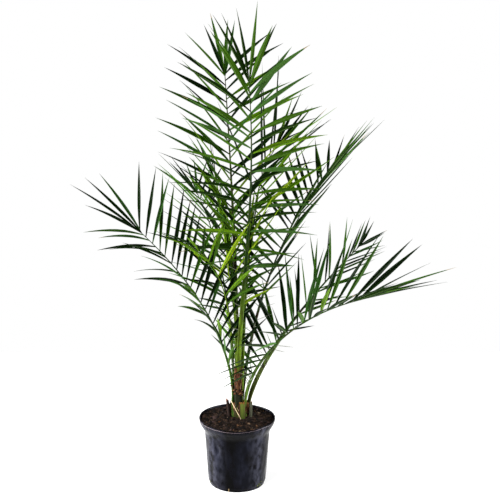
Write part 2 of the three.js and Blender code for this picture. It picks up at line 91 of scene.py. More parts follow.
def make_piece(name, rings, materials, stands_for=(), tint=None, column_tint=None, cap_tint=None,
               crease=40.0):
    """A mesh of closed tubes from rings of points, shaped (tube, ring, point, xyz), in millimetres.

    tint is a material number for each tube, column_tint a number added for each point round the
    ring, and cap_tint the number of the ends. The UV map holds the way round and the way along."""
    tubes, r, n, _ = rings.shape
    ends = np.stack([rings[:, 0].mean(axis=1), rings[:, -1].mean(axis=1)], axis=1)
    points = np.concatenate([rings.reshape(tubes, r * n, 3), ends], axis=1)
    walls, caps = tube_faces(r, n)
    inside_out = signed_volumes(points - points.mean(axis=1, keepdims=True), walls, caps) < 0
    offset = (np.arange(tubes) * (r * n + 2))[:, None, None]
    wall_faces = walls[None] + offset
    cap_faces = caps[None, :, :3] + offset
    wall_faces[inside_out] = wall_faces[inside_out][:, :, ::-1]
    cap_faces[inside_out] = cap_faces[inside_out][:, :, ::-1]

    corners = np.concatenate([wall_faces.ravel(), cap_faces.ravel()]).astype(np.int32)
    sizes = np.concatenate([np.full(tubes * len(walls), 4), np.full(tubes * len(caps), 3)])
    starts = np.concatenate([[0], np.cumsum(sizes)[:-1]]).astype(np.int32)
    mesh = bpy.data.meshes.new(name)
    mesh.vertices.add(points.shape[0] * points.shape[1])
    mesh.vertices.foreach_set("co", (points * MM).astype(np.float32).ravel())
    mesh.loops.add(len(corners))
    mesh.loops.foreach_set("vertex_index", corners)
    mesh.polygons.add(len(sizes))
    mesh.polygons.foreach_set("loop_start", starts)
    mesh.update(calc_edges=True)

    tint = np.zeros(tubes, int) if tint is None else np.asarray(tint)
    extra = np.zeros(n, int) if column_tint is None else np.asarray(column_tint)
    wall_tint = tint[:, None, None] + np.broadcast_to(extra, (r - 1, n))[None]
    ends_tint = np.broadcast_to(tint[:, None] if cap_tint is None else cap_tint, (tubes, len(caps)))
    mesh.polygons.foreach_set(
        "material_index", np.concatenate([wall_tint.ravel(), ends_tint.ravel()]).astype(np.int32))
    along, around = np.meshgrid(np.linspace(0, 1, r), np.arange(n) / n, indexing="ij")
    one_uv = np.concatenate([np.stack([around, along], -1).reshape(-1, 2), [[0.5, 0], [0.5, 1]]])
    uv = mesh.uv_layers.new(name="along")
    uv.data.foreach_set("uv", np.tile(one_uv, (tubes, 1))[corners].astype(np.float32).ravel())
    for material in materials:
        mesh.materials.append(material)
    mesh.validate()
    mesh.shade_smooth()
    mesh.set_sharp_from_angle(angle=np.radians(crease))

    piece = bpy.data.objects.new(name, mesh)
    bpy.context.scene.collection.objects.link(piece)
    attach(piece, "root")
    if stands_for:
        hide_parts(*stands_for)
    print(f"{name}: {tubes} tubes, {len(mesh.polygons)} faces")
    return piece


# %% Seeded chance, mixing and turning
def mix(a, b, share):
    return a + (b - a) * share


def spread(seed, number, draw):
    """A number from -1 to 1 that depends only on the seed, the leaflet and the draw: twice the
    fraction of a large multiple of a sine, less one. The CAD source uses the same rule."""
    wave = np.sin(seed * 12.9898 + number * 78.233 + draw * 37.719) * 43758.5453
    return 2 * (wave - np.floor(wave)) - 1


def unit(vectors):
    return vectors / np.linalg.norm(vectors, axis=-1, keepdims=True)


def turned(vectors, axis, angle):
    """Vectors turned about a unit axis: v cos a + (k x v) sin a + k (k . v)(1 - cos a)."""
    c, s = np.cos(angle)[..., None], np.sin(angle)[..., None]
    dot = (axis * vectors).sum(-1, keepdims=True)
    return vectors * c + np.cross(axis, vectors) * s + axis * dot * (1 - c)


def ripples(x, y, seed, count=7):
    """Smooth unevenness from about -1 to 1: a mean of sines that run different ways, each
    with its own seeded direction, pitch and phase."""
    rng = np.random.default_rng(seed)
    total = np.zeros(np.broadcast(x, y).shape)
    for _ in range(count):
        way, phase = rng.uniform(0, 2 * np.pi, 2)
        pitch = rng.uniform(0.6, 1.9)
        total += np.sin(pitch * (np.cos(way) * x + np.sin(way) * y) + phase)
    return total / np.sqrt(count) / 1.4


def fibres_along(paths, radius, sides=5, flat=1.0):
    """Thin tapering tubes along paths of points, shaped (tube, point, xyz). Each ring is a
    small ellipse square to the path, and flat is its thickness as a share of its width."""
    heading = unit(np.gradient(paths, axis=1))
    helper = np.where(np.abs(heading[..., 2:]) > 0.9, [[[1.0, 0, 0]]], [[[0, 0, 1.0]]])
    across = unit(np.cross(heading, helper))
    up = np.cross(across, heading)
    along = np.linspace(0, 1, paths.shape[1])
    size = np.asarray(radius)[:, None] * (1 - 0.8 * along**3)
    angle = 2 * np.pi * np.arange(sides) / sides
    ring = (np.cos(angle)[:, None] * across[:, :, None] + flat * np.sin(angle)[:, None] * up[:, :, None])
    return paths[:, :, None] + size[..., None, None] * ring


def blobs(middles, sizes, axes, rng, rings=5, sides=7, lumpy=0.25):
    """Closed lumps: ellipsoids with half sizes along three axes. Each ring runs round the long
    axis, and each point is pushed in or out at random by the share lumpy."""
    way = np.linspace(0.16, np.pi - 0.16, rings)
    round_ = 2 * np.pi * np.arange(sides) / sides
    unit_sphere = np.stack([
        np.broadcast_to(np.cos(way)[:, None], (rings, sides)),
        np.sin(way)[:, None] * np.cos(round_),
        np.sin(way)[:, None] * np.sin(round_),
    ], axis=-1)
    push = 1 + lumpy * rng.uniform(-1, 1, (len(middles), rings, sides, 1))
    local = unit_sphere[None] * push * sizes[:, None, None]
    return middles[:, None, None] + np.einsum("trsk,tkx->trsx", local, axes)


def random_axes(rng, count, tilt):
    """Three square axes for each lump: the third stays within a tilt of upright."""
    turn = rng.uniform(0, 2 * np.pi, count)
    lean = rng.normal(0, tilt, (count, 2))
    up = unit(np.stack([lean[:, 0], lean[:, 1], np.ones(count)], axis=-1))
    first = np.stack([np.cos(turn), np.sin(turn), np.zeros(count)], axis=-1)
    first = unit(first - up * (first * up).sum(-1, keepdims=True))
    return np.stack([first, np.cross(up, first), up], axis=1)

# %% [markdown]
# ## Camera
#
# The plant is seen from a little above its crown's middle, with a long lens. The camera is
# made here, at a height, pitch and lens that were fitted. It is aimed by a pitch alone,
# so it doesn't lean to a side. A small sideways shift sets the pot left of the middle of the
# frame, because the crown reaches further to the right.

# %% Make the camera
CAMERA_BACK = 2.6
CAMERA_HEIGHT = 1.2737
CAMERA_PITCH = 11.3473
LENS = 62.81
SIDE_SHIFT = 0.026

camera_data = bpy.data.cameras.new("camera")
camera_data.lens = LENS
camera_data.sensor_width = 36
camera_data.shift_x = SIDE_SHIFT
camera = bpy.data.objects.new("camera", camera_data)
camera.location = (0, -CAMERA_BACK, CAMERA_HEIGHT)
camera.rotation_euler = (np.radians(90 - CAMERA_PITCH), 0, 0)
bpy.context.scene.collection.objects.link(camera)
bpy.context.scene.camera = camera
print("camera at", tuple(camera.location))

# %% [markdown]
# ## Light and floor
#
# A studio packshot has a white surround and soft, even light. The camera sees a bright white
# world, but the part is lit by a much dimmer one, so that the leaves keep their depth of
# colour. A soft sun from the upper left gives them a bright and a dark side. Two broad lamps
# low at the sides light the pot's round wall. The floor glows a little, so that it melts into
# the surround and keeps only a faint shadow.

# %% World, lamps and floor
scene = bpy.context.scene
scene.view_settings.view_transform = "Standard"
SURROUND = 1.0
FILL = 0.18
world = bpy.data.worlds.new("studio")
world.use_nodes = True
nodes, links = world.node_tree.nodes, world.node_tree.links
fill_light = nodes["Background"]
fill_light.inputs["Color"].default_value = (1.0, 1.0, 1.0, 1)
fill_light.inputs["Strength"].default_value = FILL
surround = nodes.new("ShaderNodeBackground")
surround.inputs["Color"].default_value = (1.0, 1.0, 1.0, 1)
surround.inputs["Strength"].default_value = SURROUND
seen_first = nodes.new("ShaderNodeLightPath")
either = nodes.new("ShaderNodeMixShader")
links.new(seen_first.outputs["Is Camera Ray"], either.inputs["Fac"])
links.new(fill_light.outputs["Background"], either.inputs[1])
links.new(surround.outputs["Background"], either.inputs[2])
links.new(either.outputs["Shader"], nodes["World Output"].inputs["Surface"])
scene.world = world


def put_lamp(data, place, rotation):
    """Put a lamp's data in the scene at a place, in metres, and turned."""
    lamp = bpy.data.objects.new(data.name, data)
    lamp.location = place
    lamp.rotation_euler = rotation
    scene.collection.objects.link(lamp)


def add_lamp(name, place, aim, size, power):
    """A rectangular area lamp at a place, turned so that it shines at the point aim."""
    data = bpy.data.lights.new(name, "AREA")
    data.shape = "RECTANGLE"
    data.size, data.size_y = size
    data.energy = power
    toward = np.array(aim) - np.array(place)
    yaw = np.arctan2(toward[0], -toward[1])
    tilt = np.arccos(-toward[2] / np.linalg.norm(toward))
    put_lamp(data, place, (tilt, 0, yaw + np.pi))


def add_sun(name, from_side, elevation, strength, softness):
    """A distant lamp: it lights the whole floor evenly. from_side is its bearing in degrees,
    0 from the right and 270 from the front, and softness is its width in degrees."""
    data = bpy.data.lights.new(name, "SUN")
    data.energy = strength
    data.angle = np.radians(softness)
    put_lamp(data, (0, 0, 3), (np.radians(90 - elevation), 0, np.radians(from_side + 90)))


add_sun("key_lamp", 228, 50, 4.6, 14)
add_lamp("left_strip", (-1.45, -0.15, 0.35), (0, 0, 0.10), (1.5, 0.9), 78)
add_lamp("right_strip", (1.45, -0.10, 0.40), (0, 0, 0.10), (1.0, 0.9), 52)

FLOOR_HALF = 1.3
floor_mesh = bpy.data.meshes.new("floor")
floor_mesh.from_pydata(
    [(-FLOOR_HALF, -FLOOR_HALF, 0), (FLOOR_HALF, -FLOOR_HALF, 0), (FLOOR_HALF, FLOOR_HALF, 0),
     (-FLOOR_HALF, FLOOR_HALF, 0)], [], [(0, 1, 2, 3)])
floor = bpy.data.objects.new("floor", floor_mesh)
scene.collection.objects.link(floor)

# %% [markdown]
# ## Finishes
#
# Every finish starts from the Principled shader. Plain ones set its sockets and nothing more:
# leaf tints stay plain colours, because a leaf's own green hardly changes along it. Finishes
# with a pattern add nodes that read the object's own coordinates or the map that runs along
# each tube.


# %% Plain finishes
def finish(name, color, roughness, specular=0.5, **sockets):
    """A material with one Principled shader, whose sockets hold plain numbers."""
    material = bpy.data.materials.new(name)
    material.use_nodes = True
    shader = material.node_tree.nodes["Principled BSDF"]
    shader.inputs["Base Color"].default_value = (*color, 1)
    shader.inputs["Roughness"].default_value = roughness
    shader.inputs["Specular IOR Level"].default_value = specular
    for socket, value in sockets.items():
        shader.inputs[socket.replace("_", " ")].default_value = value
    material.diffuse_color = (*color, 1)
    return material


floor_mesh.materials.append(finish("pale_floor", (0.50, 0.50, 0.50), 0.9, 0.1, Emission_Color=(1, 1, 1, 1),
                                   Emission_Strength=0.60))

# The bluish tint and its back are a painted sheen: their blue stands in for the bluish reflection on glossy
# leaflets.
LEAF_TINTS = {
    "deep": (0.0030, 0.0130, 0.0008),
    "mid": (0.024, 0.078, 0.0022),
    "bluish_sheen": (0.024, 0.078, 0.011),
    "fresh": (0.075, 0.170, 0.0030),
    "lime": (0.170, 0.270, 0.0045),
}
LEAF_BACKS = {
    "deep": (0.0050, 0.0170, 0.0012),
    "mid": (0.030, 0.082, 0.0035),
    "bluish_sheen": (0.036, 0.095, 0.017),
    "fresh": (0.085, 0.180, 0.0045),
    "lime": (0.180, 0.280, 0.006),
}
leaf_faces = {name: finish(f"leaf_{name}", color, 0.45, 0.05) for name, color in LEAF_TINTS.items()}
leaf_backs = {name: finish(f"leaf_back_{name}", color, 0.55, 0.02) for name, color in LEAF_BACKS.items()}
# The crease finish is painted shade: a dark strip along the upper side's fold, where its valley would lie in
# shadow.
painted_crease_shade = finish("painted_crease_shade", (0.0012, 0.0050, 0.0005), 0.6, 0.02)
leaf_keel = finish("leaf_keel", (0.040, 0.085, 0.012), 0.5, 0.05)
dry_tip = finish("dry_tip", (0.25, 0.19, 0.10), 0.8, 0.2)
print("leaf finishes:", len(leaf_faces) + len(leaf_backs))


# %% Patterned finishes
def node_graph(material):
    """The material's node tree, its shader, and a function that adds a node with its settings."""
    tree = material.node_tree

    def add(kind, **settings):
        node = tree.nodes.new(kind)
        for key, value in settings.items():
            setattr(node, key, value)
        return node

    return tree, tree.nodes["Principled BSDF"], add


def stretched_noise(material, scale, stretch, detail=6.0):
    """A noise texture on the object's own coordinates, drawn out along some axes."""
    tree, _, add = node_graph(material)
    where = add("ShaderNodeTexCoord")
    squeeze = add("ShaderNodeMapping")
    squeeze.inputs["Scale"].default_value = stretch
    noise = add("ShaderNodeTexNoise")
    noise.inputs["Scale"].default_value = scale
    noise.inputs["Detail"].default_value = detail
    tree.links.new(where.outputs["Object"], squeeze.inputs["Vector"])
    tree.links.new(squeeze.outputs["Vector"], noise.inputs["Vector"])
    return noise.outputs["Fac"]


def ramp(material, driver, stops):
    """A colour that changes with the driver: stops are (place, colour) pairs."""
    tree, _, add = node_graph(material)
    node = add("ShaderNodeValToRGB")
    elements = node.color_ramp.elements
    while len(elements) < len(stops):
        elements.new(0.5)
    for element, (place, color) in zip(elements, stops):
        element.position = place
        element.color = (*color, 1)
    tree.links.new(driver, node.inputs["Fac"])
    return node.outputs["Color"]


def relief(material, driver, depth):
    """Fine unevenness of a surface, in metres of depth, from a driver between 0 and 1."""
    tree, shader, add = node_graph(material)
    bump = add("ShaderNodeBump")
    bump.inputs["Strength"].default_value = 0.6
    bump.inputs["Distance"].default_value = depth
    tree.links.new(driver, bump.inputs["Height"])
    tree.links.new(bump.outputs["Normal"], shader.inputs["Normal"])


def colored(material, color_output):
    tree, shader, _ = node_graph(material)
    tree.links.new(color_output, shader.inputs["Base Color"])
    return material


BLACK, DIM, GREY, WHITE = ((level,) * 3 for level in (0, 0.3, 0.7, 1))


def ways_on_map(material):
    """The way round and the way along a tube, from the map that make_piece lays on it."""
    tree, _, add = node_graph(material)
    split = add("ShaderNodeSeparateXYZ")
    tree.links.new(add("ShaderNodeUVMap", uv_map="along").outputs["UV"], split.inputs["Vector"])
    return split.outputs["X"], split.outputs["Y"]


def mixed_in(material, base, color, share):
    """Link the base colour's output to the shader, with another colour mixed in by a share."""
    tree, _, add = node_graph(material)
    blend = add("ShaderNodeMix", data_type="RGBA")
    tree.links.new(base, blend.inputs["A"])
    blend.inputs["B"].default_value = (*color, 1)
    tree.links.new(share, blend.inputs["Factor"])
    return colored(material, blend.outputs["Result"])


def base_color(material):
    return material.node_tree.nodes["Principled BSDF"].inputs["Base Color"].links[0].from_socket


def fibrous(name, stops, scale, stretch, depth, roughness=0.85):
    """A finish whose colour and relief both follow one stretched noise."""
    material = finish(name, stops[0][1], roughness, 0.08)
    noise = stretched_noise(material, scale, stretch)
    colored(material, ramp(material, noise, stops))
    relief(material, noise, depth)
    return material


def darkened_below(material, color, full, none):
    """Change a finish's colour to another one low on its tube."""
    share = ramp(material, ways_on_map(material)[1], [(full, WHITE), (none, BLACK)])
    mixed_in(material, base_color(material), color, share)


DARK_FIBRE, RED_FIBRE = (0.010, 0.006, 0.005), (0.070, 0.020, 0.010)
TAN, OCHRE, STRAW = (0.33, 0.17, 0.06), (0.20, 0.085, 0.018), (0.62, 0.47, 0.28)
stem_fibre = fibrous(
    "stem_fibre", [(0.30, DARK_FIBRE), (0.50, RED_FIBRE), (0.66, OCHRE), (0.80, TAN)], 60,
    (1, 1, 0.12), 0.0012)
sheath_fibre = fibrous(
    "sheath_fibre", [(0.30, (0.018, 0.006, 0.004)), (0.47, (0.085, 0.026, 0.014)),
                     (0.62, (0.20, 0.075, 0.045)), (0.78, (0.36, 0.19, 0.12))], 90,
    (1, 1, 0.16), 0.0008)
cut_stalk = fibrous(
    "cut_stalk", [(0.34, (0.008, 0.013, 0.003)), (0.48, (0.036, 0.054, 0.008)),
                  (0.62, (0.080, 0.105, 0.016)), (0.84, (0.17, 0.11, 0.04))], 70,
    (1, 1, 0.10), 0.0005, 0.6)
darkened_below(sheath_fibre, (0.010, 0.012, 0.005), 0.50, 0.64)
torn_end = fibrous("torn_end", [(0.3, RED_FIBRE), (0.5, OCHRE), (0.7, TAN)], 140, (1, 1, 0.3), 0.0010)
strand_tints = [finish(f"strand_{name}", *sockets) for name, *sockets in (
    ("dark", (0.020, 0.009, 0.006), 0.85, 0.2),
    ("red", (0.095, 0.030, 0.014), 0.85, 0.2),
    ("ochre", (0.26, 0.12, 0.035), 0.8, 0.2),
    ("straw", (0.50, 0.36, 0.20), 0.8, 0.2),
)]
print("fibre finishes ready")

# %% [markdown]
# ## Pot
#
# A thin blown nursery pot: a slightly tapering wall, a rim that flares out to a rounded lip,
# and a foot ring that is set in. It is a surface of revolution, so its outline is carried
# round the axis. Thin plastic is never quite round, so the wall gets a few soft dents and
# upright creases, and the lip waves a little. A pale ring round its edge is a painted
# highlight. The paler bands on the sides belong to the colour: they stand in for a broad
# sheen, and they don't move with the light. The drain holes are cut at the end, and a root
# tip and some moss cling to the foot.

# %% Pot outline
pot_low, pot_high = cad_box("pot")
POT_HEIGHT = pot_high[2]
RIM = (pot_high[0] - pot_low[0]) / 2
NECK, NECK_HEIGHT = 103.0, 172.0
FOOT, FOOT_HEIGHT, FOOT_IN = 91.5, 9.0, 3.0
WALL = 2.4
FLOOR_INSIDE = 6.9
POT_SIDES = 192


def wall_at(share):
    """A point of the tapering wall between the foot ring and the neck."""
    return [mix(FOOT, NECK, share), mix(FOOT_HEIGHT, NECK_HEIGHT, share)]


outline = np.array([
    [1.0, 0.0], [60.0, 0.0], [FOOT - FOOT_IN - 1.5, 0.0], [FOOT - FOOT_IN - 0.3, 0.5],
    [FOOT - FOOT_IN, 1.8], [FOOT - FOOT_IN, FOOT_HEIGHT - 1.8], [FOOT - FOOT_IN + 0.5, FOOT_HEIGHT - 0.6],
    [FOOT - 0.6, FOOT_HEIGHT], [FOOT + 0.1, FOOT_HEIGHT + 1.2], wall_at(0.25), wall_at(0.5), wall_at(0.75),
    wall_at(0.96), [NECK + 0.1, NECK_HEIGHT], [NECK + 1.0, 175.0], [NECK + 2.8, 179.4], [NECK + 9.2, 190.5],
    [NECK + 14.0, 199.4], [NECK + 15.4, 202.6], [RIM - 0.9, 206.8], [RIM, 208.4], [RIM, 212.4],
    [RIM - 0.6, 214.2], [RIM - 2.0, POT_HEIGHT], [RIM - 4.0, POT_HEIGHT - 0.2], [RIM - 4.9, POT_HEIGHT - 1.5],
    [NECK + 14.0 - 3.6, 200.4], [NECK + 2.8 - 2.9, 179.3], [NECK - WALL, NECK_HEIGHT],
    [mix(FOOT, NECK, 0.5) - WALL, mix(FOOT_HEIGHT, NECK_HEIGHT, 0.5)], [FOOT + 0.6 - WALL, 17.0],
    [FOOT - FOOT_IN - 2 * WALL, FLOOR_INSIDE], [60.0, FLOOR_INSIDE], [1.0, FLOOR_INSIDE],
])


def refined(points, longest):
    """An outline with extra points, so that no stretch of it is longer than asked."""
    pieces = []
    for start, end in zip(points[:-1], points[1:]):
        count = int(np.ceil(np.linalg.norm(end - start) / longest))
        pieces.append(mix(start, end, np.arange(count)[:, None] / count))
    return np.concatenate([*pieces, points[-1:]])


# Dents: angle and height of the middle, half width in degrees, half height, depth.
DENTS = [
    (232, 134, 6, 20, 5.0), (248, 110, 2.4, 40, 1.6), (262, 150, 5, 9, 1.6), (255, 95, 9, 30, 1.1),
    (283, 160, 10, 6, 1.5), (305, 70, 14, 34, 1.3), (322, 128, 7, 22, 1.8), (212, 60, 10, 28, 1.6),
    (20, 110, 12, 30, 2.0), (75, 60, 14, 30, 1.4), (130, 120, 10, 26, 2.2), (168, 80, 12, 30, 1.5),
    (345, 40, 9, 16, 1.6),
]


def dented(radius, height, angle):
    """How much the wall stands out: soft bell-shaped dents pushed in, faint upright creases,
    and unevenness that fades out towards the foot ring."""
    degrees = np.degrees(angle)
    out = np.zeros(np.broadcast(radius, angle).shape)
    for middle, level, wide, tall, deep in DENTS:
        across = (degrees - middle + 180) % 360 - 180
        out -= deep * np.exp(-((across / wide) ** 2) - ((height - level) / tall) ** 2)
    body = np.clip((height - FOOT_HEIGHT) / 25, 0, 1) * np.clip((POT_HEIGHT + 5 - height) / 25, 0, 1)
    creases = 0.32 * np.sin(23 * angle + 1.1 * np.sin(height / 31)) * ripples(3 * angle, height / 40, 5)
    return out * body + (creases + 0.9 * ripples(2 * angle, height / 55, 8)) * body


profile = refined(outline, 6.0)
angle = 2 * np.pi * np.arange(POT_SIDES) / POT_SIDES
radius, height = profile[:, :1], profile[:, 1:]
is_wall = radius > FOOT - FOOT_IN - 3 * WALL
r = radius + np.where(is_wall, dented(radius, height, angle[None]), 0)
lip = np.clip((height - 196) / 12, 0, 1)
r = r + lip * 0.9 * np.sin(3 * angle + 0.7)
z = height + lip * (0.7 * np.sin(2 * angle + 2.0) + 0.5 * np.sin(5 * angle) - 1.0)
pot_rings = np.stack([r * np.cos(angle), r * np.sin(angle), z], axis=-1)[None]
print("pot rings:", pot_rings.shape)

# %% Pot finish and piece
pot_plastic = finish("pot_plastic", (0.0010, 0.0011, 0.0016), 0.22, 0.045)
pot_noise = stretched_noise(pot_plastic, 26, (1, 1, 0.45), 4)
colored(pot_plastic, ramp(pot_plastic, pot_noise, [
    (0.42, (0.0002, 0.0002, 0.0004)), (0.58, (0.0022, 0.0025, 0.0050)),
    (0.74, (0.0100, 0.0110, 0.0190))]))
relief(pot_plastic, pot_noise, 0.0055)
# Paler bands on the sides of the pot, which stand in for a broad sheen, broken up by a noise.
bands = ramp(pot_plastic, ways_on_map(pot_plastic)[0], [
    (0.03, BLACK), (0.10, WHITE), (0.20, BLACK), (0.35, GREY), (0.48, DIM),
    (0.59, WHITE), (0.70, BLACK), (0.80, BLACK), (0.87, WHITE), (0.93, BLACK)])
patches = ramp(pot_plastic, stretched_noise(pot_plastic, 70, (1, 1, 0.7), 5), [(0.38, BLACK), (0.66, WHITE)])
pot_tree, _, add = node_graph(pot_plastic)
both = add("ShaderNodeMath", operation="MULTIPLY")
pot_tree.links.new(bands, both.inputs[0])
pot_tree.links.new(patches, both.inputs[1])
mixed_in(pot_plastic, base_color(pot_plastic), (0.031, 0.032, 0.046), both.outputs["Value"])
pot = make_piece("pot_shell", pot_rings, [pot_plastic], ("pot",))
lip_edge = int(np.argmax(profile[:, 0] + 0.001 * profile[:, 1]))
# A pale ring round the lip's outer edge: a painted highlight, where the rim catches the light.
lip_highlight_path = pot_rings[0, lip_edge]
lip_highlight_paint = finish("lip_highlight_paint", (0.16, 0.12, 0.13), 0.5, 0.3)
make_piece("painted_lip_highlight", fibres_along(lip_highlight_path[None], np.array([0.55]), sides=6), [lip_highlight_paint])

# %% Root tips and moss at the pot's foot
foot_root = np.array([[-24, -83, 15], [-25, -88, 11], [-26, -91, 6], [-25.5, -92, 1.5]], float)
foot_moss = np.array([[64, -68, 13], [68, -63, 17], [72, -59, 11], [75, -56, 21], [-84, -42, 15]], float)
make_piece("foot_roots", fibres_along(foot_root[None], np.array([1.5]), sides=8),
           [finish("root_tip", (0.26, 0.18, 0.09), 0.8, 0.1)])
rng = np.random.default_rng(7)
moss_sizes = rng.uniform(1.5, 3.2, (len(foot_moss), 3))
make_piece("foot_moss", blobs(foot_moss, moss_sizes, random_axes(rng, len(foot_moss), 0.8), rng),
           [finish("moss", (0.060, 0.070, 0.022), 0.9, 0.1)])


def drain_cutter():
    """Upright cylinders under the pot, one for each drain hole."""
    count, ring_radius, hole = 6, 74.0, 6.0
    turn = 2 * np.pi * (np.arange(count) + 0.5) / count
    middle = np.stack([ring_radius * np.cos(turn), ring_radius * np.sin(turn)], axis=-1)
    round_ = 2 * np.pi * np.arange(24) / 24
    circle = hole * np.stack([np.cos(round_), np.sin(round_)], axis=-1)
    flat = middle[:, None, None] + circle
    levels = np.broadcast_to(np.array([-8.0, 16.0])[None, :, None, None], (count, 2, 24, 1))
    return np.concatenate([np.broadcast_to(flat, (count, 2, 24, 2)), levels], axis=-1)


cutter = make_piece("drain_cutter", drain_cutter(), [pot_plastic])
cut = pot.modifiers.new("drains", "BOOLEAN")
cut.object = cutter
cut.solver = "EXACT"
drained = bpy.data.meshes.new_from_object(pot.evaluated_get(bpy.context.evaluated_depsgraph_get()))
pot.modifiers.clear()
pot.data = drained
bpy.data.objects.remove(cutter)
print("pot with drain holes:", len(drained.polygons), "faces")

# %% [markdown]
# ## Soil
#
# Potting bark: dark crumbs with chips of every size on top. The bulk is one closed body with
# an uneven top. The chips are small blobs, squashed and turned at random, in a handful of
# plain tints, of which a few are pale.

# %% Soil body
soil_low, soil_high = cad_box("soil")
stem_low, stem_high = cad_box("stem")
STEM_MIDDLE = (stem_low + stem_high)[:2] / 2
SOIL_TOP = soil_high[2]
SOIL_EDGE = (soil_high[0] - soil_low[0]) / 2


def soil_height(x, y):
    """Level round the stem, sinking towards the wall, with lumps of two sizes."""
    reach = np.hypot(x, y)
    fall = np.interp(reach, [0, 47, 70, SOIL_EDGE], [0, 0, 8, 11])
    lumps = 1.6 * ripples(x / 9, y / 9, 21) + 0.8 * ripples(x / 3.5, y / 3.5, 22)
    return SOIL_TOP - fall + lumps * np.clip(reach / 20, 0.3, 1)


reach = np.concatenate([np.linspace(1, SOIL_EDGE, 46), [SOIL_EDGE - 8, NECK - WALL - 1, 20]])
turn = 2 * np.pi * np.arange(144) / 144
x, y = reach[:, None] * np.cos(turn), reach[:, None] * np.sin(turn)
z = soil_height(x, y)
z[-3], z[-2], z[-1] = soil_low[2] + 184, soil_low[2] + 163, soil_low[2]
soil_crumb = fibrous(
    "soil_crumb", [(0.32, (0.004, 0.0025, 0.002)), (0.5, (0.016, 0.009, 0.006)),
                   (0.68, (0.040, 0.023, 0.014)), (0.85, (0.085, 0.052, 0.032))], 120, (1, 1, 1), 0.003, 0.95)
make_piece("soil_body", np.stack([x, y, z], axis=-1)[None], [soil_crumb], ("soil",), crease=70)


# %% Bark chips
CHIPS = 1500
rng = np.random.default_rng(11)
reach = (SOIL_EDGE - 3) * np.sqrt(rng.uniform(0.0, 1, CHIPS))
turn = rng.uniform(0, 2 * np.pi, CHIPS)
x, y = reach * np.cos(turn), reach * np.sin(turn)
size = rng.gamma(3.2, 0.75, CHIPS) + 0.7
sizes = np.stack([size * rng.uniform(1.0, 2.0, CHIPS), size * rng.uniform(0.5, 0.9, CHIPS),
                  size * rng.uniform(0.25, 0.5, CHIPS)], axis=-1)
inside = reach + sizes[:, 0] < SOIL_EDGE + 1
middles = np.stack([x, y, soil_height(x, y) + 0.4 * sizes[:, 2]], axis=-1)
chip_rings = blobs(middles, sizes, random_axes(rng, CHIPS, 0.35), rng, lumpy=0.3)[inside]
chip_tints = [finish(f"chip_{name}", *sockets) for name, *sockets in (
    ("black", (0.0035, 0.0022, 0.0018), 0.9, 0.1),
    ("dark", (0.009, 0.0056, 0.0042), 0.9, 0.1),
    ("brown", (0.026, 0.016, 0.010), 0.9, 0.1),
    ("plum", (0.032, 0.018, 0.016), 0.85, 0.15),
    ("rust", (0.080, 0.040, 0.020), 0.85, 0.1),
    ("pale", (0.15, 0.11, 0.07), 0.8, 0.1),
)]
chip_tint = rng.choice(len(chip_tints), CHIPS, p=[0.40, 0.32, 0.17, 0.06, 0.035, 0.015])[inside]
make_piece("bark_chips", chip_rings, chip_tints, tint=chip_tint, crease=30)
